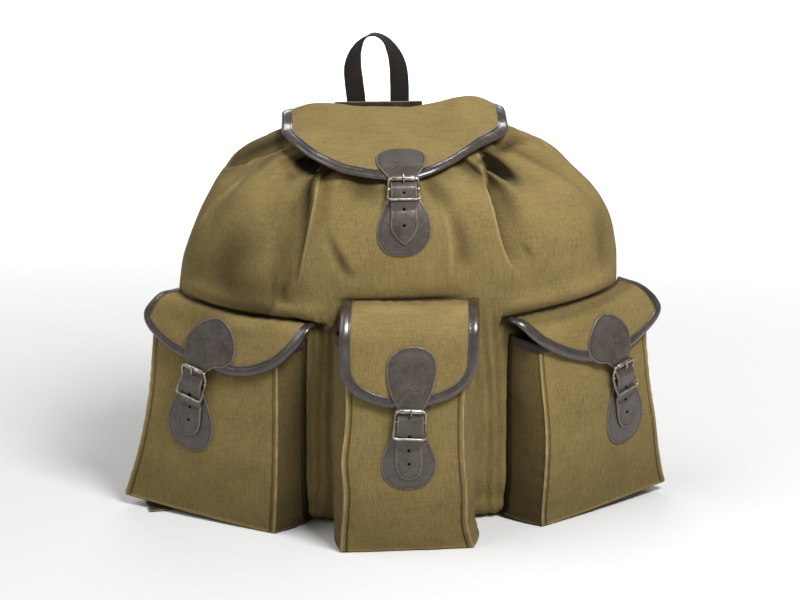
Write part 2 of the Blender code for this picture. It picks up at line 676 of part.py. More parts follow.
def along_path(path, shares):
    """Points at shares of the length of a path of (across, down) places."""
    length = np.concatenate([[0], np.cumsum(np.linalg.norm(np.diff(path, axis=0), axis=1))])
    at = np.asarray(shares) * length[-1]
    return np.stack([np.interp(at, length, path[:, k]) for k in (0, 1)], -1)


def flap_mesh(shape, across_shares, down_shares):
    """Places (across, down) and faces of a flap, and the indices of its inner line and free edge.

    A grid fills the flap inside a line a little in from the free edge, and a strip of quads joins
    the two, so that a binding can follow the strip's facets.
    """
    half, straight, drop = shape[:3]
    turn = np.linspace(0, math.pi / 2, 121)
    curve = np.stack([half * np.cos(turn), edge_length(half * np.cos(turn), *shape)], -1)
    corner = np.searchsorted(-curve[:, 0], -FLAP_CORNER * half)
    side_path = np.concatenate([[(half, 0)], curve[: corner + 1]])
    low_path = np.concatenate([curve[corner:] * (-1, 1), curve[corner:][::-1][1:]])
    u, v = np.array(across_shares), np.sort([*down_shares, BINDING_START / drop])
    side = along_path(side_path, v)
    edge = np.concatenate([side * (-1, 1), along_path(low_path, u)[1:-1], side[::-1]])
    along = unit(np.gradient(edge, axis=0))
    inner = edge + along[:, ::-1] * (INNER_LINE, -INNER_LINE)

    rows, columns = len(v), len(u)
    left, low, right = inner[:rows], inner[rows - 1 : rows + columns - 1], inner[: -rows - 1 : -1]
    u, v = u[:, None], v[:, None, None]
    top = inner[0] * (1 - u) + inner[-1] * u
    corners = (1 - v) * top + v * ((1 - u) * low[0] + u * low[-1])
    inside = (1 - v) * top + v * low + (1 - u) * left[:, None] + u * right[:, None] - corners

    inner_ids = [i * columns for i in range(rows)]
    inner_ids += [(rows - 1) * columns + j for j in range(1, columns - 1)]
    inner_ids += [i * columns + columns - 1 for i in reversed(range(rows))]
    edge_ids = [rows * columns + k for k in range(len(edge))]
    faces = grid_faces(rows, columns, turned=True)
    for inner_here, edge_here, edge_next, inner_next in zip(inner_ids, edge_ids, edge_ids[1:], inner_ids[1:]):
        faces += [(inner_here, edge_here, edge_next), (inner_here, edge_next, inner_next)]
    return np.concatenate([inside.reshape(-1, 2), edge]), faces, inner_ids, edge_ids


def make_bag(canvas):
    shares = bag_shares()
    base_edge = bag_points(shares, 0.0)
    centre = base_edge.mean(0)
    rows = [np.repeat(centre[None], len(shares), 0), centre + (base_edge - centre) * BASE_RING]
    rows += [bag_points(shares, height) for height in BAG_ROWS]
    return sheet("bag_body", rows, CANVAS, canvas, closed=True)


def make_pocket(pocket, canvas, tape):
    grid = pocket.grid()
    sheet("pocket_" + pocket.name, grid, CANVAS, canvas)
    rim, below = grid[-1, 1:-1], grid[-2, 1:-1]
    name = "mouth_tape_" + pocket.name
    binding(name, rim, unit(below - rim), CANVAS / 2, CANVAS, tape, width=TAPE_WIDTH, gap=TAPE_GAP)


def make_flap(name, surface, shape, shares, thickness, canvas, leather):
    """A cloth flap with a folded leather binding round its free edge."""
    places, faces, inner, edge = flap_mesh(shape, *shares)
    points = surface(places[:, 0], places[:, 1])
    add_wall(mesh_object(name, points, faces, canvas), thickness)
    edge, inner = points[edge[1:-1]], points[inner[1:-1]]
    binding(name + "_binding", edge, unit(inner - edge), -thickness / 2, thickness, leather)


def roller_place(across, shape):
    """Length from the seam to a buckle's roller, clear of the free edge over its width."""
    reach = [across - FRAME_HALF_WIDTH, across, across + FRAME_HALF_WIDTH]
    return edge_length(np.array(reach), *shape).max() + EDGE_TO_ROLLER


class Closure:
    """A closure's centre line on a flap's surface and the rigid frame of its buckle."""

    def __init__(self, name, surface, below, across, down, turn=0.0, lean=0.0):
        self.name, self.surface, self.below = name, surface, below
        s = np.arange(*CENTRE_LINE)
        above, beside = 1 - smooth_step(*PATCH_TURN_FADE, s), 1 - smooth_step(*LEAN_FADE, s)
        angle = np.radians(turn * above + lean * beside)
        steps = np.stack([np.sin(angle), np.cos(angle)], -1) * (s[1] - s[0])
        line = np.cumsum(steps, axis=0)
        line += np.array([across, down]) - np.stack([np.interp(0, s, line[:, k]) for k in (0, 1)])
        self.s, self.angle, self.line = s, angle, line
        self.origin = self.grid([(0, 0, 0)])[0, 0]
        self.down = unit(self.grid([(0.03, 0, 0)])[0, 0] - self.origin)
        normal = self.grid([(0, 0.01, 0)])[0, 0] - self.origin
        self.across = unit(np.cross(normal, self.down))
        self.out = np.cross(self.down, self.across)

    def grid(self, rows, columns=(0,), scale=1.0):
        """Points for rows of (s, out, half width), spread square to the centre line."""
        points = []
        for s, out, half in rows:
            s *= scale
            middle = np.array([np.interp(s, self.s, self.line[:, k]) for k in (0, 1)])
            angle = np.interp(s, self.s, self.angle)
            spread = np.array(columns)[:, None] * half * np.array([math.cos(angle), -math.sin(angle)])
            across, down = (middle + spread).T
            normal = surface_normal(self.surface, across, down)
            points.append(self.surface(across, down) + normal * out)
        return np.array(points)

    def low_grid(self, rows, columns):
        """The same, with out measured off the cloth under the flap."""
        points = self.grid([(s, 0, half) for s, _, half in rows], columns)
        for line, row in zip(points, rows):
            feet = [self.below(point) for point in line]
            line[:] = [foot + way * row[1] for foot, way in feet]
        return points

    def at(self, a, s, out):
        return self.origin + self.across * a + self.down * s + self.out * out


def wrap_places(centre, radius, turns):
    """(s, out) places round a bar, with turns in degrees from the s direction towards out."""
    return [
        (centre[0] + radius * math.cos(math.radians(t)), centre[1] + radius * math.sin(math.radians(t)))
        for t in turns
    ]


def make_closure(closure, tip, leather, steel, upper_scale=1.0, lower_scale=1.0):
    """Strap from the flap, patch below it, and the buckle that joins them."""
    name, at = closure.name, closure.at
    columns = (-1, 0, 1)
    upper = closure.grid([row for row in STRAP if row.s < 0], columns, upper_scale)
    through = [[at(a * row.half_width, row.s, row.out) for a in columns] for row in STRAP if row.s >= 0]
    rows = np.concatenate([upper, through, closure.low_grid(tip, columns)])
    strap = sheet("strap_" + name, rows, STRAP_LEATHER, leather, turned=True, offset=0.0)
    for k, s in enumerate(HOLE_PLACES):
        ends = [at(0, s, out) for out in HOLE_REACH]
        hole = tube(f"hole_{k}_{name}", ends, HOLE_RADIUS, HOLE_SIDES, closure.down, leather)
        boolean(strap, hole, "DIFFERENCE")

    neck = LOWER_PATCH[-1]
    wrap = wrap_places(MIDDLE_BAR, WIRE_RADIUS + GAP + PATCH_LEATHER / 2, (-90, -135, 180, 135, 90, 60))
    low = neck.s
    patch_rows = [row._replace(s=low + (row.s - low) * lower_scale) for row in LOWER_PATCH]
    lower = closure.low_grid(patch_rows, columns)
    turned = np.array([[at(a * neck.half_width, s, o) for a in columns] for s, o in wrap])
    patch = sheet("patch_" + name, np.concatenate([lower, turned]), PATCH_LEATHER, leather, offset=0.0)
    start, end, wide = SLOT
    below, above = SLOT_REACH
    corner = at(-wide / 2, start, below)
    edges = (closure.across * wide, closure.down * (end - start), closure.out * (above - below))
    slot = block("slot_" + name, corner, *edges, leather)
    boolean(patch, slot, "DIFFERENCE")

    top_half, low_half = FRAME_SIDE[0][0] - CORNER, FRAME_SIDE[-1][0] - CORNER
    side = [(top_half, *TOP_BAR), *FRAME_SIDE, (low_half, *LOW_BAR)]
    loop = [at(*p) for p in side] + [at(-a, s, o) for a, s, o in reversed(side)]
    frame = tube("buckle_frame_" + name, loop, WIRE_RADIUS, WIRE_SIDES, closure.out, steel, cyclic=True)
    ends = (at(-FRAME_HALF_WIDTH, *MIDDLE_BAR), at(FRAME_HALF_WIDTH, *MIDDLE_BAR))
    bar = tube("middle_bar_" + name, ends, MIDDLE_BAR_RADIUS, WIRE_SIDES, closure.out, steel)
    boolean(frame, bar, "UNION")

    ends = (at(-ROLLER_HALF_LENGTH, *TOP_BAR), at(ROLLER_HALF_LENGTH, *TOP_BAR))
    make_roller("buckle_roller_" + name, ends, closure.out, steel)
    prong = [at(0, s, o) for s, o in PRONG]
    tube("buckle_prong_" + name, prong, PRONG_RADIUS, WIRE_SIDES, closure.across, steel)


def make_roller(name, ends, reference, steel):
    """A short pipe between two points."""
    start, end = ends
    along = unit(end - start)
    side = unit(np.cross(along, reference))
    third = np.cross(side, along)
    angle = 2 * math.pi * np.arange(ROLLER_SIDES) / ROLLER_SIDES
    ring = np.cos(angle)[:, None] * side + np.sin(angle)[:, None] * third
    outer, bore = ring * ROLLER_RADIUS, ring * ROLLER_BORE
    grid = np.array([start + outer, end + outer, end + bore, start + bore, start + outer])
    mesh_object(name, grid.reshape(-1, 3), grid_faces(5, ROLLER_SIDES, closed=True), steel, outward=True)


def ribbon(name, path, width_way, half_widths, thickness, made_of, columns=(-1, 1)):
    """A flat strip along a path, its width along the given directions."""
    reach = np.array(half_widths)[:, None, None] * np.array(columns)[None, :, None]
    grid = np.asarray(path)[:, None] + reach * np.asarray(width_way)[:, None]
    return sheet(name, grid, thickness, made_of, offset=0.0)


def strap_ways(path):
    """Width directions of a strip that lies against the back or the ground."""
    tangent = unit(np.gradient(np.asarray(path, float), axis=0))
    return tangent, unit(np.cross(tangent, np.array([0, 1.0, 0])))


def make_back(canvas_web, leather, steel):
    """Yoke, carry loop and the two shoulder straps with their rings, tails and anchors."""
    columns = np.linspace(-1, 1, 3) * YOKE_HALF_WIDTH + BACK_CENTRE
    yoke = [[(x, y, z) for x in columns] for z, y in YOKE_ROWS]
    sheet("back_yoke", yoke, LEATHER, leather, turned=True)

    half = [(-p.across + BACK_CENTRE, p.back, p.height) for p in LOOP]
    turns = [p.turn for p in LOOP]
    path = np.array(half + [(2 * BACK_CENTRE - x, y, z) for x, y, z in reversed(half[:-1])])
    turns = np.radians(turns + [180 - t for t in reversed(turns[:-1])])
    tangent = unit(np.gradient(path, axis=0))
    rest = np.array([0, 1.0, 0]) - tangent * tangent[:, 1:2]
    level = unit(np.cross(rest, tangent))
    ways = level * np.cos(turns)[:, None] + unit(rest) * np.sin(turns)[:, None]
    ribbon("carry_loop", path, ways, [LOOP_WIDTH / 2] * len(path), WEBBING, canvas_web)

    for name, sign in (("left", -1), ("right", 1)):
        make_shoulder_strap(name, sign, leather, steel)
    path = [(p.across, p.back, p.height) for p in STRAP_END]
    tangent = unit(np.gradient(np.array(path), axis=0))
    ways = unit(np.cross(tangent, np.array([0, 0, 1.0])))
    ribbon("strap_end_left", path, ways, [p.half_width for p in STRAP_END], TAIL_LEATHER, leather)


def back_path(points, sign):
    """Strap points on one side; the top is centred on the yoke and the foot on the bag."""
    fade = np.array([smooth_step(0.05, 0.39, p.height) for p in points])
    return np.array([(sign * p.across + BACK_CENTRE * f, p.back, p.height) for p, f in zip(points, fade)])


def make_shoulder_strap(name, sign, leather, steel):
    path = back_path(SHOULDER_STRAP, sign)
    tangent, way = strap_ways(path)
    down, across = tangent[-1], way[-1]
    out = np.cross(across, down)
    out = out if out[1] > 0 else -out
    radius = RING_RADIUS + GAP + SHOULDER_LEATHER / 2
    top = path[-1] + down * TURNED_BACK - out * radius
    angles = np.radians((90, 45, 0, -45, -90))
    turned = [top + radius * (math.cos(t) * down + math.sin(t) * out) for t in angles]
    turned.append(turned[-1] - down * TURNED_BACK)
    points = np.array([*path, *turned])
    ways = np.array([*way, *[across] * len(turned)])
    halves = [p.half_width for p in SHOULDER_STRAP] + [TAIL[0].half_width] * len(turned)
    ribbon("shoulder_strap_" + name, points, ways, halves, SHOULDER_LEATHER, leather)

    low = top + down * RING_LENGTH
    side, bow = across * RING_HALF_WIDTH, down * RING_BOW
    inset = across * (RING_HALF_WIDTH - RING_CORNER)
    loop = [top - inset, top - side + bow, low - side - bow, low - inset]
    loop += [top + low - p for p in loop]
    tube("strap_ring_" + name, loop, RING_RADIUS, WIRE_SIDES, out, steel, cyclic=True)

    radius = RING_RADIUS + GAP + TAIL_LEATHER / 2
    angles = np.radians((-90, -45, 0, 45, 90))
    turned = [low + radius * (-math.cos(t) * down + math.sin(t) * out) for t in angles]
    turned.insert(0, turned[0] + down * TURNED_BACK)
    path = back_path(TAIL, sign)
    points = np.array([*turned, *path])
    _, way = strap_ways(path)
    ways = np.array([*[across] * len(turned), *way])
    halves = [TAIL[0].half_width] * len(turned) + [p.half_width for p in TAIL]
    ribbon("strap_tail_" + name, points, ways, halves, TAIL_LEATHER, leather)

    foot = path[-1]
    back = BACK_FACE + GAP + LEATHER
    anchor = [[(foot[0] + c * ANCHOR_HALF, back, z) for c in (-1, 0, 1)] for z in ANCHOR_HEIGHTS]
    sheet("strap_anchor_" + name, anchor, LEATHER, leather, turned=True)


def main():
    clear_scene()
    canvas = material("olive_canvas", SRGB_CANVAS, 0.9)
    binding_leather = material("binding_leather", SRGB_BINDING, 0.4)
    strap_leather = material("strap_leather", SRGB_LEATHER, 0.5)
    tape = material("mouth_tape", SRGB_TAPE, 0.8)
    webbing = material("webbing", SRGB_WEBBING, 0.8)
    steel = material("nickel_steel", SRGB_STEEL, 0.35, metallic=1.0)
    make_bag(canvas)
    pockets = (
        Pocket(
            "left", SIDE_POCKET, LEFT_SEAMS, SIDE_SEAM_OUT, SIDE_GUSSET_BULGE, LEFT_FLAP,
            inner_shift=-0.005, mirror=-1,
        ),
        Pocket("centre", CENTRE_POCKET, CENTRE_SEAMS, CENTRE_SEAM_OUT, CENTRE_GUSSET_BULGE, CENTRE_FLAP),
        Pocket(
            "right", SIDE_POCKET, RIGHT_SEAMS, SIDE_SEAM_OUT, SIDE_GUSSET_BULGE, RIGHT_FLAP,
            inner_shift=0.006,
        ),
    )
    for pocket, place, lower in zip(pockets, CLOSURE_ACROSS, CLOSURE_DOWN):
        flap = pocket.flap
        make_pocket(pocket, canvas, tape)
        shape = (flap.half, flap.straight, flap.drop, flap.rounding)
        shares = (FLAP_ACROSS, flap.down_shares)
        make_flap("flap_" + pocket.name, pocket.surface, shape, shares, CANVAS, canvas, binding_leather)
        down = roller_place(place, shape) + lower
        outward = 0 if pocket.name == "centre" else pocket.mirror
        turns = (SIDE_PATCH_TURN * outward, SIDE_BUCKLE_LEAN * outward)
        closure = Closure(pocket.name, pocket.surface, pocket.below, place, down, *turns)
        lower_scale = SIDE_LOWER_SCALE if outward else 1.0
        make_closure(closure, ROUND_TIP, strap_leather, steel, lower_scale=lower_scale)

    shape = (LID_HALF, LID_STRAIGHT, LID_DROP, LID_ROUNDING)
    make_flap("lid", lid_surface, shape, (LID_ACROSS, LID_DOWN), LID_CANVAS, canvas, binding_leather)
    closure = Closure("lid", lid_surface, lid_below, 0.0, roller_place(0.0, shape))
    make_closure(closure, POINTED_TIP, strap_leather, steel, LID_PATCH_SCALE, LID_LOWER_SCALE)
    make_back(webbing, strap_leather, steel)


main()
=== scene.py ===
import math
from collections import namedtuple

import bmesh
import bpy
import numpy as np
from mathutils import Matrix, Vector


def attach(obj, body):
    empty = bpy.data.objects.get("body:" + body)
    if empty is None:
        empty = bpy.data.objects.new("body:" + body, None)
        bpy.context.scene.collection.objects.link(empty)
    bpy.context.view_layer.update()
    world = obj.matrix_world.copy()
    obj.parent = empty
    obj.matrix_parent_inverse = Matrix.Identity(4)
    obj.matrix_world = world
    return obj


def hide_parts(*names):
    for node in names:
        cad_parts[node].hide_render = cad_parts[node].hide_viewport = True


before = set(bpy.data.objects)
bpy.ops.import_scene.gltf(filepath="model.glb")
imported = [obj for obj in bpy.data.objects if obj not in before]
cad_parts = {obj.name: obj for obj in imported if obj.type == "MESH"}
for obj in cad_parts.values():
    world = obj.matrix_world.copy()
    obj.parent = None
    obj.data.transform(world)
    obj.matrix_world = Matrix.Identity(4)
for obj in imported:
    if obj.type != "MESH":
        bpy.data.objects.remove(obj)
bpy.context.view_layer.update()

# %% [markdown]
# # A canvas rucksack with leather trim
# A hunting rucksack is sewn from one heavy canvas: a gathered bag, a lid and three box pockets with
# flaps. Dark leather binds the free edges and makes the four closures. The CAD model gives the
# places and sizes, and this file dresses it: every cloth piece is worked out again on a finer grid
# from the same named sizes, with its folds, seams and stitches.

SHIFT = np.array([0.0, 0.0129, 0.0])
BODY = "root"

# %% The camera's place
AIM, DISTANCE = np.array([0.0, -0.0152, 0.25]), 2.2
AZIMUTH, ELEVATION = math.radians(-4), math.radians(15)
TO_CAMERA = np.array(
    [math.sin(AZIMUTH) * math.cos(ELEVATION), -math.cos(AZIMUTH) * math.cos(ELEVATION), math.sin(ELEVATION)]
)
VIEW_RIGHT = np.array([math.cos(AZIMUTH), math.sin(AZIMUTH), 0.0])
VIEW_UP = np.cross(TO_CAMERA, VIEW_RIGHT)


def seen(points):
    """Place in the photo's plane in mm: way right and up from the aim, over the depth, x the distance."""
    away = points + SHIFT - AIM
    depth = DISTANCE - away @ TO_CAMERA
    return 1000 * DISTANCE * np.stack([away @ VIEW_RIGHT, away @ VIEW_UP], -1) / depth[..., None]


print("camera stands at", AIM + TO_CAMERA * DISTANCE)

# %% [markdown]
# ## Curves and surfaces
# Cloth has no edges of its own, so all shapes here are smooth curves through a few named rows. A
# surface is an array of points in rows and columns. Small helpers give its outward direction, read
# it between its points and turn it into a mesh.

# %% Smooth curves, directions and soft unevenness
def unit(v):
    return v / np.maximum(np.linalg.norm(v, axis=-1, keepdims=True), 1e-12)


def smooth_step(low, high, at):
    """Rises from 0 at low to 1 at high as 3t squared less 2t cubed."""
    t = np.clip((np.asarray(at, float) - low) / (high - low), 0, 1)
    return t * t * (3 - 2 * t)


def window(start, full, fade, end, at):
    """Rises from 0 at start to 1 at full, and falls from 1 at fade to 0 at end."""
    return smooth_step(start, full, at) * (1 - smooth_step(fade, end, at))


def hump(away, width):
    """A bell: e to the power of minus the square of the distance over the width."""
    return np.exp(-((np.asarray(away) / width) ** 2))


def smooth_curve(places, values, at):
    """Cubic Hermite curve through values at places, with slopes from their neighbours."""
    places, values, at = np.asarray(places, float), np.asarray(values, float), np.asarray(at, float)
    slopes = np.gradient(values, places, axis=0)
    left = np.clip(np.searchsorted(places, at) - 1, 0, len(places) - 2)
    span = places[left + 1] - places[left]
    t = (at - places[left]) / span
    if values.ndim > 1:
        t, span = t[..., None], span[..., None]
    return (
        (2 * t**3 - 3 * t**2 + 1) * values[left]
        + (t**3 - 2 * t**2 + t) * span * slopes[left]
        + (3 * t**2 - 2 * t**3) * values[left + 1]
        + (t**3 - t**2) * span * slopes[left + 1]
    )


def path_lengths(points):
    """Length from the start to each point of a path."""
    return np.concatenate([[0], np.cumsum(np.linalg.norm(np.diff(points, axis=0), axis=1))])


def direction(path):
    """Unit steps along a path."""
    return unit(np.gradient(path, axis=0))


def turns(count):
    """Angles of evenly spaced points once round."""
    return 2 * math.pi * np.arange(count) / count


def joined(*parts):
    """Places from their coordinates, each stretched to the shape that they share."""
    return np.stack(np.broadcast_arrays(*parts), -1)


def even_path(points, count):
    """The path read at equal steps of its length."""
    length = path_lengths(points)
    at = np.linspace(0, length[-1], count)
    return np.stack([np.interp(at, length, points[:, k]) for k in range(points.shape[1])], -1)


def grid_normals(points):
    """Outward direction: cross product of the step to the next row and the step to the next column."""
    return unit(np.cross(np.gradient(points, axis=0), np.gradient(points, axis=1)))


def soft_noise(points, size, seed):
    """Smooth unevenness from -1 to 1: random values on a cubic lattice, blended between its corners."""
    lattice = np.random.default_rng(seed).uniform(-1, 1, (32, 32, 32))
    place = np.asarray(points) / size
    base = np.floor(place).astype(int)
    t = place - base
    t = t * t * (3 - 2 * t)
    total = 0
    for corner in np.ndindex(2, 2, 2):
        share = np.prod(np.where(corner, t, 1 - t), axis=-1)
        i, j, k = np.moveaxis((base + corner) % 32, -1, 0)
        total = total + share * lattice[i, j, k]
    return total


def dents(points, rows):
    """Sum of soft noises, each given by its depth, its size and its seed."""
    return sum(depth * soft_noise(points, size, seed) for depth, size, seed in rows)


def table(kind, *rows):
    """Rows of numbers as named tuples of a kind, whose fields head the columns."""
    return tuple(kind(*row) for row in rows)


# %% A surface that can be read anywhere on it
class Surface:
    """Points on a grid of (down, across) places, read between them by blending four neighbours."""

    def __init__(self, down, across, points):
        self.down, self.across, self.points = down, across, points
        self.normal = grid_normals(points)

    def place(self, values, at):
        index = np.interp(at, values, np.arange(len(values)))
        low = np.minimum(index.astype(int), len(values) - 2)
        return low, (index - low)[..., None]

    def read(self, grid, across, down):
        across, down = np.broadcast_arrays(np.asarray(across, float), np.asarray(down, float))
        (i, s), (j, t) = self.place(self.down, down), self.place(self.across, across)
        low = grid[i, j] * (1 - t) + grid[i, j + 1] * t
        return low * (1 - s) + (grid[i + 1, j] * (1 - t) + grid[i + 1, j + 1] * t) * s

    def at(self, across, down, out=0.0):
        """Point at a place, moved outwards."""
        lift = np.asarray(out, float)[..., None]
        return self.read(self.points, across, down) + unit(self.read(self.normal, across, down)) * lift


# %% Meshes from grids
def quads(rows, columns, around=False):
    """Each face joins a point, its neighbour down, the one diagonal to it and its neighbour across."""
    i, j = np.meshgrid(np.arange(rows - 1), np.arange(columns - (not around)), indexing="ij")
    k = (j + 1) % columns
    faces = [i * columns + j, (i + 1) * columns + j, (i + 1) * columns + k, i * columns + k]
    return np.stack(faces, -1).reshape(-1, 4)


def weld(mesh):
    """Points that fall on one place, at the closed end of a tube or the middle of a disc, become one."""
    work = bmesh.new()
    work.from_mesh(mesh)
    bmesh.ops.remove_doubles(work, verts=work.verts, dist=1e-6)
    work.to_mesh(mesh)
    work.free()


Look = namedtuple("Look", "paint slot")


def add_piece(name, points, faces, look, replaces=(), metres=None, marks=None):
    """A mesh object in the row frame. metres are flat places for its UV map, marks its attributes."""
    paint, slot = look
    mesh = bpy.data.meshes.new(name)
    points = np.asarray(points, float).reshape(-1, 3) + SHIFT
    faces = np.asarray(faces).reshape(-1, 4)
    mesh.vertices.add(len(points))
    mesh.vertices.foreach_set("co", points.ravel())
    mesh.loops.add(faces.size)
    mesh.loops.foreach_set("vertex_index", faces.ravel())
    mesh.polygons.add(len(faces))
    mesh.polygons.foreach_set("loop_start", np.arange(0, faces.size, 4))
    mesh.polygons.foreach_set("use_smooth", np.ones(len(faces), bool))
    if metres is not None:
        layer = mesh.uv_layers.new(name="metres")
        layer.data.foreach_set("uv", np.asarray(metres, float).reshape(-1, 2)[faces.ravel()].ravel())
    for mark, values in (marks or {}).items():
        attribute = mesh.attributes.new(mark, "FLOAT", "POINT")
        attribute.data.foreach_set("value", np.asarray(values, np.float32).ravel())
    mesh.update(calc_edges=True)
    weld(mesh)
    mesh.materials.append(paint)
    obj = bpy.data.objects.new(name, mesh)
    bpy.context.scene.collection.objects.link(obj)
    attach(obj, BODY)
    if replaces:
        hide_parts(*replaces)
    print(name, len(faces), "faces")


def slab(points, thickness, rim_steps):
    """A sheet with a wall: the outer face, the inner face a thickness below it, and a rim between.

    rim = middle of the wall + half the thickness x (normal x cos t + outwards x sin t), with t from
    0 to 180 degrees. Returns points, faces, the grid place each point came from, and a rim mark.
    """
    rows, columns = points.shape[:2]
    normal = grid_normals(points)
    index = np.arange(rows * columns).reshape(rows, columns)
    loop = np.concatenate([index[:-1, 0], index[-1, :-1], index[:0:-1, -1], index[0, :0:-1]])
    flat, flat_normal = points.reshape(-1, 3), normal.reshape(-1, 3)
    edge, up = flat[loop], flat_normal[loop]
    along = unit(np.roll(edge, -1, 0) - np.roll(edge, 1, 0))
    outwards = unit(np.cross(along, up))
    turn = np.linspace(0, math.pi, rim_steps + 2)[1:-1, None, None]
    middle = edge - up * thickness / 2
    rim = middle + thickness / 2 * (up * np.cos(turn) + outwards * np.sin(turn))
    count, ring = rows * columns, len(loop)
    rim_index = 2 * count + np.arange(rim_steps * ring).reshape(rim_steps, ring)
    rings = np.concatenate([loop[None], rim_index, loop[None] + count])
    ahead = np.roll(rings, -1, 1)
    sides = np.stack([rings[:-1], rings[1:], ahead[1:], ahead[:-1]], -1).reshape(-1, 4)
    outer = quads(rows, columns)
    everything = np.concatenate([flat, flat - flat_normal * thickness, rim.reshape(-1, 3)])
    faces = np.concatenate([outer, outer[:, ::-1] + count, sides])
    source = np.concatenate([index.ravel(), index.ravel(), np.tile(loop, rim_steps)])
    mark = np.concatenate([np.zeros(2 * count), np.ones(rim_steps * ring)])
    return everything, faces, source, mark


def add_slab(name, points, thickness, look, replaces, metres, marks, rim_steps=4):
    everything, faces, source, edge = slab(points, thickness, rim_steps)
    flat = np.asarray(metres).reshape(-1, 2)[source]
    carried = {k: np.asarray(v).ravel()[source] for k, v in marks.items()}
    carried["cut_edge"] = edge
    add_piece(name, everything, faces, look, replaces, flat, carried)


def sweep(path, section, up, closed=False):
    """A tube: at each path point, section's (side, up) places are laid square to the path."""
    path, section = np.asarray(path, float), np.asarray(section, float)
    if closed:
        along = unit(np.roll(path, -1, 0) - np.roll(path, 1, 0))
    else:
        along = direction(path)
    side = unit(np.cross(np.broadcast_to(up, path.shape), along))
    top = np.cross(along, side)
    return path[:, None] + section[None, :, :1] * side[:, None] + section[None, :, 1:] * top[:, None]


TUBE_SIDES = 12


def ring(radius, sides):
    turn = turns(sides)
    return radius * np.stack([np.cos(turn), np.sin(turn)], -1)


def pinched(points):
    """A tube's rings with one more at each end, drawn to a point."""
    first, last = [row.mean(1, keepdims=True) + 0 * row for row in (points[:1], points[-1:])]
    return np.concatenate([first, points, last])


def add_tube(name, path, radius, up, look, replaces=(), closed=False):
    """A round wire along a path; an open one is closed by drawing its ends to a point."""
    points = sweep(path, ring(radius, TUBE_SIDES), up, closed)
    points = np.concatenate([points, points[:1]]) if closed else pinched(points)
    add_piece(name, points, quads(*points.shape[:2], around=True)[:, ::-1], look, replaces)


# %% [markdown]
# ## Shader maths
# A material's pattern is arithmetic on positions. Wiring it node by node is long and hard to read,
# so one small class wraps a socket and turns operators into Math nodes.

# %% Sockets with operators
class Wire:
    """A number socket in a material, for use in ordinary expressions."""

    def __init__(self, paint, socket):
        self.paint, self.socket = paint, socket

    def maths(self, operation, *values):
        return self.paint.node("Math", {"operation": operation}, *values)

    def __add__(self, other): return self.maths("ADD", self, other)
    def __sub__(self, other): return self.maths("SUBTRACT", self, other)
    def __rsub__(self, other): return self.maths("SUBTRACT", other, self)
    def __mul__(self, other): return self.maths("MULTIPLY", self, other)
    __radd__, __rmul__ = __add__, __mul__

    def sine(self): return self.maths("SINE", self)
    def least(self, other): return self.maths("MINIMUM", self, other)

    def between(self, low, high):
        """0 below low, 1 above high and a smooth rise between."""
        settings = {"interpolation_type": "SMOOTHSTEP", "clamp": True}
        return self.paint.node("MapRange", settings, self, low, high, 0.0, 1.0)


class Paint:
    """A material with a Principled shader and one method for every other node."""

    def __init__(self, name, **constants):
        self.material = bpy.data.materials.new(name)
        self.material.use_nodes = True
        self.tree = self.material.node_tree
        self.shader = self.tree.nodes["Principled BSDF"]
        for socket, value in constants.items():
            self.shader.inputs[socket.replace("_", " ")].default_value = value
        self.place = self.node("TexCoord", {}, output="Object")

    def connect(self, socket, value):
        if isinstance(value, Wire):
            self.tree.links.new(value.socket, socket)
        elif value is not None:
            socket.default_value = value

    def node(self, kind, settings, *values, output=0, **named):
        """A node of a type: settings first, then its sockets in order and by name."""
        made = self.tree.nodes.new("ShaderNode" + kind)
        for key, value in settings.items():
            setattr(made, key, value)
        for socket, value in zip(made.inputs, values):
            self.connect(socket, value)
        for key, value in named.items():
            self.connect(made.inputs[key.replace("_", " ")], value)
        return Wire(self, made.outputs[output])

    def stretched(self, x, y, z):
        """Object coordinates with a scale of their own along each axis."""
        return self.node("Mapping", {}, self.place, Scale=(x, y, z))

    def noise(self, where, scale, detail=2.0, rough=0.5):
        return self.node("TexNoise", {}, where, Scale=scale, Detail=detail, Roughness=rough)

    def mark(self, name):
        return self.node("Attribute", {"attribute_name": name}, output="Fac")

    def flat(self):
        """The piece's own flat places in metres."""
        where = self.node("UVMap", {"uv_map": "metres"})
        return [self.node("SeparateXYZ", {}, where, output=k) for k in (0, 1)]

    def blend(self, share, first, second):
        """Colour between two colours."""
        made = self.tree.nodes.new("ShaderNodeMix")
        made.data_type = "RGBA"
        for k, value in ((0, share), (6, first), (7, second)):
            value = (*value, 1.0) if isinstance(value, tuple) else value
            self.connect(made.inputs[k], value)
        return Wire(self, made.outputs[2])

    def bump(self, height, distance, strength, under=None):
        return self.node("Bump", {}, Height=height, Distance=distance, Strength=strength, Normal=under)

    def finish(self, **sockets):
        for socket, value in sockets.items():
            self.connect(self.shader.inputs[socket.replace("_", " ")], value)
        return self.material


def from_screen(red, green, blue):
    """A colour as the eye reads it on a screen, as the shader's linear light."""
    return tuple(((c / 255 + 0.055) / 1.055) ** 2.4 for c in (red, green, blue))
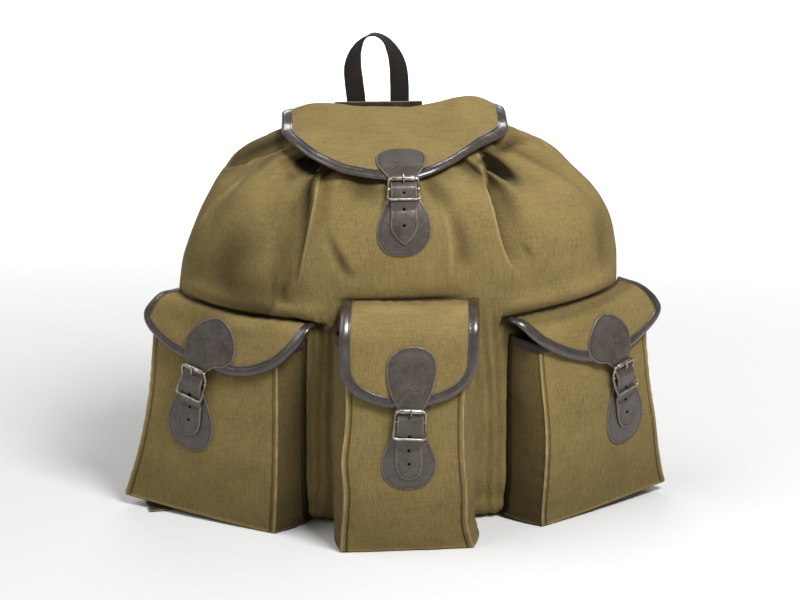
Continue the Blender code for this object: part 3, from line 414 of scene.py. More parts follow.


# %% [markdown]
# ## Canvas
# The cloth is waxed cotton in a plain weave. Close to, thick and thin threads give short upright
# streaks; from further off it is mottled and paler where seams rub, with painted shade in the folds,
# hollows and gussets and along seams. Two attributes on each piece, worn and shaded, say where that is.

# %% Canvas
def make_canvas():
    paint = Paint("olive_canvas", Sheen_Weight=0.015, Sheen_Roughness=0.5, Specular_IOR_Level=0.05)
    across, down = paint.flat()
    slub = paint.noise(paint.stretched(800, 800, 50), 1.0, 3.0, 0.6)
    cross = paint.noise(paint.stretched(50, 50, 900), 1.0, 2.0, 0.6)
    mottle = paint.noise(paint.place, 22.0, 4.0, 0.6)
    speck = paint.noise(paint.place, 700.0, 2.0, 0.7)
    weave = (across * 5200).sine() * (down * 5200).sine()
    tone = 0.5 + (slub - 0.5) * 0.65 + (cross - 0.5) * 0.3 + (mottle - 0.5) * 0.35 + (speck - 0.5) * 0.5
    colour = paint.blend(tone.between(0.0, 1.0), from_screen(88, 75, 45), from_screen(138, 120, 77))
    colour = paint.blend(paint.mark("worn") * (0.25 + 0.6 * speck), colour, from_screen(178, 157, 112))
    # Painted shade: the shaded attribute blends the cloth towards near black in folds, hollows, gussets and
    # along seams
    colour = paint.blend(paint.mark("shaded"), colour, from_screen(24, 18, 9))
    height = weave * 0.3 + slub * 0.8 + cross * 0.4 + speck * 0.4
    normal = paint.bump(height, 0.00045, 0.5, paint.bump(mottle, 0.003, 0.25))
    return paint.finish(Base_Color=colour, Roughness=0.78 + 0.18 * slub, Normal=normal)


canvas = Look(make_canvas(), "olive_canvas")
print("canvas is ready")

# %% [markdown]
# ## Leather
# The straps and patches are smooth finished leather, dark brown with a soft grey shine and a fine
# pebbled grain. A cut edge is paler and rougher. The thin leather of the bindings is glossier
# because it is pulled tight over the cloth's edge.

# %% Leather
def make_leather(name, dark, light, edge_colour, roughness, polish):
    paint = Paint(name, Specular_IOR_Level=0.6, Coat_Weight=polish, Coat_Roughness=0.2)
    grain = paint.node("TexVoronoi", {"feature": "F1"}, paint.place, Scale=1100.0)
    mottle = paint.noise(paint.place, 60.0, 3.0, 0.6)
    streak = paint.noise(paint.place, 260.0, 3.0, 0.6)
    tone = 0.5 + (mottle - 0.5) * 1.2 + (streak - 0.5) * 0.9
    colour = paint.blend(tone.between(0.1, 0.9), dark, light)
    edge = (paint.mark("cut_edge") + paint.mark("edge")).least(1.0)
    colour = paint.blend(edge * (0.15 + 0.6 * streak), colour, edge_colour)
    height = grain * 0.5 + streak * 0.6
    rough = (roughness + 0.16 * mottle + 0.1 * streak) * (1 - edge) + edge * 0.75
    return paint.finish(Base_Color=colour, Roughness=rough, Normal=paint.bump(height, 0.0003, 0.45))


leather, binding_leather = [
    Look(make_leather(name, *[from_screen(*tone) for tone in tones], roughness, polish), name)
    for name, tones, roughness, polish in (
        ("strap_leather", ((42, 35, 29), (68, 58, 49), (118, 105, 90)), 0.30, 0.3),
        ("binding_leather", ((34, 28, 24), (60, 50, 43), (92, 80, 69)), 0.20, 0.5),
    )
]
print("leathers are ready")


# %% Thread, webbing, tape and nickelled steel
def make_thread(name, colour):
    paint = Paint(name, Base_Color=(*colour, 1.0), Roughness=0.6)
    twist = (paint.noise(paint.place, 900.0, 2.0, 0.6) - 0.5) * 1.5
    return paint.finish(Normal=paint.bump(twist, 0.0002, 0.5))


def make_woven(name, dark, light, rib):
    """Narrow woven goods: ribs across the strip, threads along it."""
    paint = Paint(name, Sheen_Weight=0.04, Specular_IOR_Level=0.2)
    across, down = paint.flat()
    ribs = (down * (2 * math.pi / rib)).sine() * 0.5 + 0.5
    threads = (across * (2 * math.pi / (rib * 0.8))).sine() * 0.5 + 0.5
    fleck = paint.noise(paint.place, 500.0, 2.0, 0.7)
    tone = ribs * 0.4 + threads * 0.25 + fleck * 0.5
    colour = paint.blend(tone.between(0.2, 1.0), dark, light)
    return paint.finish(Base_Color=colour, Roughness=0.7 + 0.2 * fleck, Normal=paint.bump(tone, 0.0005, 0.6))


def make_steel():
    paint = Paint("nickel_steel", Metallic=1.0)
    brush = paint.noise(paint.place, 700.0, 3.0, 0.6)
    dull = paint.noise(paint.place, 120.0, 3.0, 0.6)
    colour = paint.blend(dull.between(0.3, 0.8), from_screen(172, 166, 155), from_screen(104, 97, 87))
    return paint.finish(
        Base_Color=colour, Roughness=0.24 + 0.22 * dull, Normal=paint.bump(brush, 0.0002, 0.3)
    )


def make_hole_shadow():
    """Painted shadow where one sees through a punched hole: near black, a little mottled."""
    paint = Paint("hole_black", Specular_IOR_Level=0.0)
    shadow_mottle = paint.noise(paint.place, 800.0)
    colour = paint.blend(shadow_mottle, from_screen(4, 3, 3), from_screen(20, 16, 14))
    return paint.finish(Base_Color=colour, Roughness=0.9)


dark_thread = Look(make_thread("dark_thread", from_screen(24, 20, 18)), "strap_leather")
hole_black = Look(make_hole_shadow(), "strap_leather")
webbing, tape = [
    Look(make_woven(name, from_screen(*dark), from_screen(*light), rib), name)
    for name, dark, light, rib in (
        ("webbing", (14, 11, 8), (34, 27, 22), 0.0016), ("mouth_tape", (44, 36, 30), (80, 68, 58), 0.0012)
    )
]
steel = Look(make_steel(), "nickel_steel")
print("thread, webbing, tape and steel are ready")

# %% [markdown]
# ## The bag
# The bag is a tube of canvas on a flat base, drawn in at the mouth under the lid. At each
# height its outline is a closed curve, round in front and flat behind. Gathers pull the upper cloth
# in, and the full side pockets press the wall in behind them. The same rows as the CAD model's
# make the fine surface, and creases and a soft unevenness are added on top.

# %% The bag's outline and folds
Level = namedtuple("Level", "height centre half_width front middle back front_power")
BAG_LEVELS = table(
    Level,
    (0.000, 0.000, 0.242, -0.058, 0.034, 0.094, 1.00),
    (0.006, 0.000, 0.252, -0.068, 0.034, 0.100, 1.00),
    (0.030, 0.000, 0.259, -0.076, 0.033, 0.102, 1.00),
    (0.100, 0.000, 0.261, -0.080, 0.031, 0.102, 1.00),
    (0.180, 0.000, 0.258, -0.084, 0.029, 0.102, 0.98),
    (0.250, 0.002, 0.252, -0.092, 0.027, 0.102, 0.94),
    (0.306, 0.005, 0.241, -0.096, 0.024, 0.102, 0.88),
    (0.353, 0.006, 0.222, -0.091, 0.022, 0.102, 0.86),
    (0.385, 0.004, 0.200, -0.079, 0.022, 0.100, 0.86),
    (0.408, 0.001, 0.178, -0.065, 0.023, 0.098, 0.86),
    (0.424, 0.000, 0.150, -0.049, 0.025, 0.095, 0.86),
    (0.433, 0.000, 0.124, -0.036, 0.027, 0.091, 0.86),
    (0.440, 0.000, 0.106, -0.026, 0.030, 0.087, 0.86),
)
MOUTH_DROP, MOUTH_DROP_LOW, MOUTH_BACK = 0.026, 0.365, 0.055
BACK_POWER, FLAT_BACK = 0.46, 1.10
Fold = namedtuple("Fold", "place width depth low")
FOLDS = table(
    Fold,
    (-0.098, 0.013, 0.020, 0.285),
    (0.098, 0.013, 0.020, 0.285),
    (-0.150, 0.016, 0.012, 0.320),
    (0.156, 0.018, 0.014, 0.310),
    (-0.215, 0.018, 0.018, 0.300),
    (0.215, 0.018, 0.018, 0.300),
    (-0.045, 0.014, 0.006, 0.340),
    (0.050, 0.014, 0.006, 0.340),
    (-0.300, 0.016, 0.010, 0.340),
    (0.300, 0.016, 0.010, 0.340),
)
FOLD_FULL = 0.110
PRESS_PLACE, PRESS_WIDTH, PRESS_DEPTH, PRESS_HEIGHTS = 0.172, 0.050, 0.026, (0.0, 0.07, 0.215, 0.262)


def bag_level(height):
    table = np.array(BAG_LEVELS)
    return smooth_curve(table[:, 0], table[:, 1:], height)


def bag_outline(height):
    """x = half width x sin a to a power, y = reach x cos a to a power, with a once round."""
    centre, half, front, middle, back, front_power = bag_level(height)
    angle = np.linspace(0, 2 * math.pi, 1441)
    s, c = np.sin(angle), np.cos(angle)
    ahead = c >= 0
    x = centre + half * np.sign(s) * np.abs(s) ** np.where(ahead, front_power, BACK_POWER)
    forward = (front - middle) * np.abs(c) ** front_power
    rearward = (back - middle) * np.minimum(1, FLAT_BACK * np.abs(c) ** BACK_POWER)
    y = middle + np.where(ahead, forward, rearward)
    along = path_lengths(np.stack([x, y], -1))
    return along / along[-1], x, y


def pull_in(share, height):
    """Depth of the gathers and of the hollows behind the side pockets: bells across, steps along."""
    total = np.zeros(np.shape(share))
    for fold in FOLDS:
        away = (share - fold.place + 0.5) % 1 - 0.5
        rise = smooth_step(fold.low, fold.low + FOLD_FULL, height)
        total = total + fold.depth * rise * hump(away, fold.width)
    strength = window(*PRESS_HEIGHTS, height)
    away = np.minimum(share % 1, 1 - share % 1) - PRESS_PLACE
    return total + PRESS_DEPTH * strength * hump(away, PRESS_WIDTH)


def bag_ring(share, height):
    """One level of the bag: its outline moved in by the folds, the front of the mouth a little lower."""
    shares, x, y = bag_outline(height)
    here, ahead, behind = [
        np.stack([np.interp((share + d) % 1, shares, c) for c in (x, y)], -1) for d in (0, 0.004, -0.004)
    ]
    tangent = unit(ahead - behind)
    normal = np.stack([tangent[:, 1], -tangent[:, 0]], -1)
    point = here - normal * pull_in(share, height)[:, None]
    top = BAG_LEVELS[-1]
    toward_front = np.clip((MOUTH_BACK - point[:, 1]) / (MOUTH_BACK - top.front), 0, 1)
    drop = MOUTH_DROP * smooth_step(MOUTH_DROP_LOW, top.height, height) * toward_front
    return np.concatenate([point, (height - drop)[:, None]], -1)


# %% Creases in the bag's cloth
# A crease is a row of (right, up, depth) places in mm, as the photo shows them, with the width that
# the cloth needs to come back. At a step, the cloth to the right of the way that the row runs lies
# lower. A valley with a negative depth is a ridge. Steps and valleys are read where the cloth was
# before they move it, and paint shade in their hollows too. A dark row only paints shade on the cloth,
# by a share in place of the depth, and is read where the cloth ends up, as where it turns away under
# the ears and in the deep hollows.
Crease = namedtuple("Crease", "kind width places")
CREASES = table(
    Crease,
    ("step", 15, (
        (-86, 160, 2), (-89, 148, 5), (-93, 131, 8), (-96, 112, 8), (-101, 87, 7), (-105, 67, 6),
        (-109, 48, 5), (-113, 26, 3.5), (-118, 9, 0),
    )),
    ("valley", 9, ((-128, 172, 2), (-119, 163, 4), (-108, 157, 5), (-96, 153, 5), (-87, 149, 2))),
    ("step", 13, (
        (-123, 177, 3), (-138, 167, 5), (-159, 160, 6), (-174, 153, 6), (-193, 148, 5),
        (-209, 142, 2),
    )),
    ("valley", 2.6, (
        (-151, 160, 0), (-170, 142, -1.6), (-183, 131, -1.8), (-196, 118, -1.8), (-206, 111, -1.6),
        (-217, 96, -1.6), (-231, 75, 0),
    )),
    ("valley", 2.6, ((-165, 146, 0), (-179, 139, 1.2), (-195, 127, 1.2), (-208, 116, 0))),
    ("valley", 6, ((-88, 81, 0), (-78, 64, 1.5), (-69, 47, 3.2), (-62, 34, 3.0), (-53, 20, 0))),
    ("valley", 15, ((-62, 128, 0), (-49, 123, 3), (-36, 125, 3), (-22, 128, 0))),
    ("valley", 5, ((-122, 31, 1), (-128, 18, 3.5), (-133, 4, 3.5), (-134, -4, 0))),
    ("valley", 4, ((-142, 34, 0), (-143, 18, 2.2), (-144, 2, 2.2), (-143, -7, 0))),
    ("valley", 8, ((-136, 143, 0), (-130, 138, 1.5), (-121, 143, 3), (-112, 151, 0))),
    ("valley", 12, ((-112, 123, 0), (-115, 108, 2.5), (-120, 92, 2.5), (-125, 76, 0))),
    ("step", 13, (
        (131, 32, 0), (124, 40, 2), (118, 53, 4), (112, 71, 5), (108, 87, 6.5), (103, 106, 7),
        (97, 125, 6.5), (93, 146, 5), (88, 168, 4),
    )),
    ("valley", 4.5, (
        (90, 159, 4), (96, 155, 9), (105, 150, 10), (115, 143, 8), (125, 137, 4), (137, 130, 0),
    )),
    ("valley", 8, ((109, 168, 2), (121, 176, 5), (133, 179, 3), (148, 177, 0))),
    ("step", 11, ((171, 169, 0), (159, 177, 4), (148, 183, 5), (134, 189, 5), (121, 197, 3))),
    ("valley", 6, ((52, 106, 0), (60, 90, 1.8), (66, 67, 2.2), (69, 47, 2.0), (71, 27, 0))),
    ("valley", 5, ((45, 112, 0), (52, 87, -1.0), (56, 63, -1.4), (57, 36, -1.2), (56, 17, 0))),
    ("valley", 5, ((134, 63, 0), (141, 56, 2.0), (147, 47, 1.2), (150, 38, 0))),
    ("valley", 9, ((215, 116, 0), (221, 87, 2.0), (226, 56, 2.0), (231, 31, 0))),
    ("valley", 9, ((22, 134, 0), (34, 128, 3), (43, 116, 2.5), (52, 105, 0))),
    ("dark", 11, (
        (-121, 187, 0.75), (-143, 176, 0.85), (-168, 165, 0.8), (-190, 153, 0.6), (-208, 143, 0.1),
    )),
    ("dark", 7, ((121, 204, 0.2), (134, 195, 0.5), (147, 189, 0.55), (162, 178, 0.2))),
    ("dark", 28, (
        (-155, 84, 0.15), (-179, 62, 0.55), (-193, 34, 0.62), (-179, 9, 0.62), (-146, -11, 0.5),
    )),
    ("dark", 20, (
        (-109, 121, 0.2), (-116, 95, 0.42), (-122, 67, 0.46), (-128, 36, 0.48), (-132, 0, 0.48),
    )),
    ("dark", 12, (
        (-133, 150, 0.2), (-122, 157, 0.7), (-108, 153, 1.3), (-97, 148, 1.5), (-91, 141, 0.9),
        (-94, 126, 0.2),
    )),
    ("dark", 8, (
        (92, 162, 1.3), (104, 154, 1.7), (116, 145, 1.5), (127, 137, 0.9), (139, 128, 0.1),
    )),
    ("dark", 9, ((101, 166, 0.5), (114, 171, 0.6), (127, 179, 0.5), (139, 183, 0))),
    ("dark", 14, ((-63, 137, 0.4), (-49, 130, 0.6), (-34, 123, 0.58), (-22, 112, 0.3))),
    ("dark", 10, ((27, 137, 0.4), (38, 128, 0.5), (49, 114, 0.42), (58, 96, 0.15))),
    ("dark", 10, ((58, 105, 0.1), (67, 83, 0.3), (72, 58, 0.3), (74, 34, 0.05))),
    ("step", 10, (
        (-121, -16, 1), (-108, -21, 4), (-94, -24, 5), (-84, -31, 5), (-76, -29, 4), (-71, -18, 3),
        (-68, -7, 0),
    )),
    ("dark", 8, ((113, -24, 0.9), (128, -30, 1.0), (143, -38, 1.0), (160, -47, 0.8))),
    ("dark", 5, ((-99, -32, 0.8), (-90, -31, 1.0), (-81, -27, 0.6))),
    ("dark", 36, ((-184, 139, 0.0), (-208, 106, 0.2), (-220, 67, 0.28), (-217, 27, 0.28))),
)

CREASE_STEPS = 48


def along_crease(where, places):
    """Distance to the right of a smooth curve through the places, and the depth at the nearest one."""
    at = np.linspace(0, len(places) - 1, CREASE_STEPS)
    curve = smooth_curve(np.arange(len(places)), np.array(places, float), at)
    line, depth = curve[:, :2], curve[:, 2]
    way = direction(line)
    offset = where[..., None, :] - line
    nearest = np.argmin(np.sum(offset**2, -1), -1)
    offset = np.take_along_axis(offset, nearest[..., None, None], -2)[..., 0, :]
    way = way[nearest]
    spacing = np.linalg.norm(np.gradient(line, axis=0), axis=1)[nearest]
    place = nearest + np.sum(offset * way, -1) / spacing
    inside = window(-2, 0, CREASE_STEPS - 1, CREASE_STEPS + 1, place)
    aside = offset[..., 0] * way[..., 1] - offset[..., 1] * way[..., 0]
    return aside, np.interp(place, np.arange(CREASE_STEPS), depth) * inside


def creased(where):
    """Sum over the creases of how far the cloth moves out in mm, with its shade and its rubbed edge."""
    out, shade, rubbed = np.zeros((3, *where.shape[:-1]))
    for crease in CREASES:
        if crease.kind == "dark":
            continue
        aside, depth = along_crease(where, crease.places)
        if crease.kind == "step":
            low = np.clip(aside, 0, None) / crease.width
            high = np.clip(-aside, 0, None) / crease.width
            edge = smooth_step(-0.5, 2.5, aside)
            out += depth * (0.28 * np.exp(-((high / 0.7) ** 2)) * (1 - edge) - edge * np.exp(-low))
            shade = np.maximum(shade, depth / 7 * edge * np.exp(-low * 1.1))
            rubbed = np.maximum(rubbed, depth / 7 * hump(aside + 0.8, 1.2))
        else:
            out -= depth * (1.4 * hump(aside, crease.width) - 0.5 * hump(aside, 2.2 * crease.width))
            shade = np.maximum(shade, depth / 6 * hump(aside, 0.9 * crease.width))
            rubbed = np.maximum(rubbed, -depth / 4 * hump(aside, 0.6 * crease.width))
    return out / 1000, np.clip(shade, 0, 1), np.clip(rubbed, 0, 1)


def darkened(where):
    """The deepest shade of the dark rows, at the places where the cloth ends up."""
    dark = [crease for crease in CREASES if crease.kind == "dark"]
    rows = [(crease.width, *along_crease(where, crease.places)) for crease in dark]
    return np.clip(np.max([depth * hump(aside, width) for width, aside, depth in rows], 0), 0, 1)


def quiet(x, z, centre_x, centre_z, half_x, half_z):
    """1 away from a place and 0 on it, where a strap lies flat on the cloth."""
    away = np.sqrt(((x - centre_x) / half_x) ** 2 + ((z - centre_z) / half_z) ** 2)
    return smooth_step(0.9, 1.5, away)


# %% The seams that the bag swells over
# A flap's seam runs from one share of the way round the bag to another, rising from its inner height
# to its outer one. Its shape is its half width, its longest drop and where that is across it, and for
# each side how far it runs straight and how round it turns then.
Flap = namedtuple("Flap", "seams inner_height outer_height inward shape")
FlapShape = namedtuple("FlapShape", "half drop lowest left right")
CENTRE_FLAP = Flap(
    seams=(-0.056, 0.0635), inner_height=0.268, outer_height=0.268, inward=-0.0025,
    shape=FlapShape(0.0730, 0.139, 0.0, (0.094, 2.2), (0.094, 2.2)),
)
LEFT_FLAP = Flap(
    seams=(0.081, 0.238), inner_height=0.240, outer_height=0.258, inward=0.013,
    shape=FlapShape(0.108, 0.0725, 0.004, (0.043, 2.3), (0.012, 1.9)),
)
RIGHT_FLAP = Flap(
    seams=(0.094, 0.238), inner_height=0.242, outer_height=0.262, inward=0.0085,
    shape=FlapShape(0.1100, 0.0800, 0.028, (0.008, 1.35), (0.060, 2.5)),
)

# %% The bag's fine surface
# Fine columns and rows where the front creases are, coarse ones elsewhere
FRONT = np.linspace(0, 0.2, 131)
BAG_SHARES = np.concatenate([FRONT, np.linspace(0.2, 0.8, 121)[1:-1], 1 - FRONT[::-1]])
BAG_HEIGHTS = np.concatenate(
    [np.linspace(0.440, 0.235, 104), np.linspace(0.235, 0.03, 41)[1:], np.linspace(0.03, 0, 10)[1:]]
)
Bulge = namedtuple("Bulge", "share height wide high out")
BULGES = table(
    Bulge,
    (0.215, 0.350, 0.045, 0.050, 0.006),
    (-0.060, 0.290, 0.050, 0.040, 0.003),
)


BAG_DENTS = ((0.0022, 0.060, 3), (0.0007, 0.022, 4))
PLEATS, PLEAT_DEPTH = 46, 0.0008
# Places in the photo where the cloth is drawn together, with their widths, in mm
DRAWN, WRINKLE_PITCH, WRINKLE_DEPTH = ((-84, 17), (104, 14)), 12, 0.0009


def over_seams(share, height):
    """The bag swells over the flaps' seams, most over the side flaps: a bell of the height above each seam. A
    thin painted shade runs along each seam.
    """
    out, shade = np.zeros((2, *np.broadcast_shapes(np.shape(share), np.shape(height))))
    for flap, side, much in ((LEFT_FLAP, -1, 0.0045), (CENTRE_FLAP, 1, 0.0010), (RIGHT_FLAP, 1, 0.0045)):
        low, high = flap.seams
        along = ((share * side + 0.5) % 1 - 0.5 - low) / (high - low)
        above = height - flap.inner_height - (flap.outer_height - flap.inner_height) * np.clip(along, 0, 1)
        reach = window(-0.10, 0.05, 0.70, 0.96, along)
        out += much * reach * hump(above - 0.013, 0.010)
        shade += reach * hump(above - 0.001, 0.0026)
    return out, shade


def bag_surface():
    points = np.array([bag_ring(BAG_SHARES, height) for height in BAG_HEIGHTS])
    x, z = points[..., 0], points[..., 2]
    normal = grid_normals(np.concatenate([points[:, -2:-1], points, points[:, 1:2]], 1))[:, 1:-1]
    facing = smooth_step(0.0, 0.25, normal @ TO_CAMERA)
    still = quiet(x, z, 0.0, 0.325, 0.034, 0.048) * smooth_step(0.0, 0.02, z)
    out, shade, rubbed = creased(seen(points))
    swell, seam_shade = over_seams(BAG_SHARES[None], BAG_HEIGHTS[:, None])
    for bulge in BULGES:
        away = (BAG_SHARES - bulge.share + 0.5) % 1 - 0.5
        above = BAG_HEIGHTS[:, None] - bulge.height
        swell = swell + bulge.out * hump(away, bulge.wide) * hump(above, bulge.high)
    uneven = dents(points, BAG_DENTS)
    pleats = PLEAT_DEPTH * np.sin(BAG_SHARES * 2 * math.pi * PLEATS + 5 * soft_noise(points, 0.09, 6))
    pleats = pleats * smooth_step(0.370, 0.425, z)
    flat_back = 0.25 + 0.75 * smooth_step(0.09, 0.06, points[..., 1])
    # Between the pockets the cloth is drawn together in upright wrinkles, with painted shade in their hollows
    right = seen(points)[..., 0]
    drawn = sum(hump(right - at, wide) for at, wide in DRAWN) * smooth_step(0.262, 0.235, z) * facing
    wrinkle = np.sin(right * 2 * math.pi / WRINKLE_PITCH + 7 * soft_noise(points * (1, 1, 0.25), 0.03, 7))
    swell = swell + WRINKLE_DEPTH * drawn * wrinkle
    shade = shade + drawn * (0.10 - 0.14 * wrinkle)
    moved = (uneven * flat_back + pleats + out * facing) * still + swell
    moved[:, -1] = moved[:, 0]
    finished = points + normal * moved[..., None]
    shade = np.maximum(shade, darkened(seen(finished)))
    marks = np.clip(shade * facing * still + seam_shade, 0, 1), rubbed * facing * still
    return finished, moved, normal, marks


bag_points, bag_moved, bag_normal, (bag_shade, bag_rubbed) = bag_surface()
bag_face = Surface(-BAG_HEIGHTS, BAG_SHARES, bag_points)
print("bag surface", bag_points.shape, "unevenness up to mm", round(1000 * float(np.abs(bag_moved).max()), 1))


def bag_at(share, height, out):
    """A point on the bag at a share of the way round, moved outwards."""
    return bag_face.at(np.asarray(share) % 1.0, -np.asarray(height), out)


# %% The bag's mesh
CANVAS, INNER_STEP = 0.0018, 4


def add_bag():
    """Inner floor, inner wall, rim, outer wall and base: rows of one grid that is closed round the bag."""
    ring_points = bag_points[:, :-1]
    closed = np.concatenate([ring_points[:, -1:], ring_points, ring_points[:, :1]], 1)
    normal = grid_normals(closed)[:, 1:-1]
    # The inner wall has fewer rows, so it goes as deep as the deepest fold between them. It still
    # comes through the outer one in the tightest folds, beside the lid and along the base.
    moved = bag_moved[:, :-1]
    padded = np.pad(moved, ((INNER_STEP, INNER_STEP), (0, 0)), mode="edge")
    deepest = np.min([padded[k : k + len(moved)] for k in range(2 * INNER_STEP + 1)], 0)
    deeper = (moved - deepest) * np.clip(np.arange(len(moved)) / (2 * INNER_STEP), 0, 1)[:, None]
    inner = ring_points - normal * CANVAS - bag_normal[:, :-1] * deeper[..., None]
    centre = ring_points[-1].mean(0)
    base = centre + (ring_points[-1] - centre) * np.linspace(0.985, 0, 12)[:, None, None]
    floor = base[::-1] + np.array([0, 0, CANVAS])
    inner[:, :, 2] = np.maximum(inner[:, :, 2], CANVAS)
    turn = np.linspace(math.pi, 0, 5)[1:-1, None, None]
    middle, side = (ring_points[0] + inner[0]) / 2, (ring_points[0] - inner[0]) / 2
    rim = middle + side * np.cos(turn) + np.array([0, 0, CANVAS / 2]) * np.sin(turn)
    stack = np.concatenate([floor, inner[::-INNER_STEP], rim, ring_points, base])
    rows, columns = stack.shape[:2]
    girth = path_lengths(bag_points[104])[:-1]
    height = path_lengths(stack[:, 0])
    metres = joined(girth[None], height[:, None])
    folds = np.array([pull_in(BAG_SHARES[:-1], h) for h in BAG_HEIGHTS]) / 0.020
    dark = np.zeros((rows, columns))
    last = rows - len(base)
    first = last - len(ring_points)
    # Painted shade: in the valleys of the gathers near the top, with the creases' and seams' shade, and half
    # shade over the inner floor, the inner wall and the rim
    valley = np.clip(folds * smooth_step(0.35, 0.43, BAG_HEIGHTS)[:, None], 0, 1) ** 1.5
    dark[first:last] = np.clip(np.maximum(valley * 0.6, bag_shade[:, :-1]), 0, 1)
    dark[:first] = 0.5
    worn = np.zeros((rows, columns))
    worn[first:last] = bag_rubbed[:, :-1]
    faces = quads(rows, columns, around=True)
    add_piece(
        "bag_cloth", stack, faces, canvas, ["bag_body"], metres, {"worn": worn, "shaded": dark}
    )


add_bag()

# %% [markdown]
# ## Box pockets
# Each pocket is a front face, two gussets and a base, sewn edge to edge with the seams turned
# inwards, which leaves a narrow raised welt along each corner where the cloth rubs pale. The load
# pushes the face out a little, and the thread draws small puckers along every seam.

# %% Pocket shapes
PocketLevel = namedtuple("PocketLevel", "height inner_x inner_y outer_x outer_y lift")
SIDE_POCKET = table(
    PocketLevel,
    (0.000, 0.150, -0.092, 0.316, 0.014, 0.012),
    (0.060, 0.147, -0.101, 0.298, 0.004, 0.010),
    (0.130, 0.145, -0.098, 0.284, 0.002, 0.007),
    (0.210, 0.144, -0.086, 0.276, 0.006, 0.005),
)
CENTRE_POCKET = table(
    PocketLevel,
    (0.000, -0.073, -0.152, 0.072, -0.148, 0.0),
    (0.020, -0.072, -0.154, 0.066, -0.151, 0.0),
    (0.070, -0.069, -0.158, 0.063, -0.155, 0.0),
    (0.105, -0.071, -0.156, 0.060, -0.154, 0.0),
    (0.140, -0.067, -0.153, 0.059, -0.152, 0.0),
    (0.236, -0.065, -0.142, 0.064, -0.140, 0.0),
)
LEFT_SEAMS, CENTRE_SEAMS, RIGHT_SEAMS = (0.088, 0.242), (-0.056, 0.056), (0.096, 0.242)
# How far each gusset stands out, and how dark its cloth is where it faces away from the light
Gusset = namedtuple("Gusset", "full shade")
LEFT_GUSSETS = table(
    Gusset,
    (0.003, 0.25),
    (0.002, 0.50),
)
CENTRE_GUSSETS = table(
    Gusset,
    (0.009, 0.32),
    (0.013, 0.05),
)
RIGHT_GUSSETS = table(
    Gusset,
    (0.002, 0.50),
    (0.003, 0.20),
)
GUSSET_FOOT, MOUTH_RISE = 0.007, 0.011
FACE_BULGE, END_BULGE, LOWEST_SEAM, SEAM_OUT = 0.005, 0.35, 0.006, 0.0020
WELT_HEIGHT, WELT_WIDTH, WELT_SEAM = 0.0012, 0.0016, 0.0052
OVER, FLAP_EDGE_BACK, FLAP_RISE = 0.0071, 0.0020, 0.010
# How far a flap's surface is worked out past its outline, as a share and in length
FLAP_MARGIN, FLAP_BELOW = 1.08, 0.110
# Shares of the pocket's height at which a flap follows its face
FACE_ROWS = 1.0, 0.9, 0.75, 0.5, 0.25, 0.05
FLAP_DENTS = ((0.0016, 0.045, 11), (0.0008, 0.018, 12))


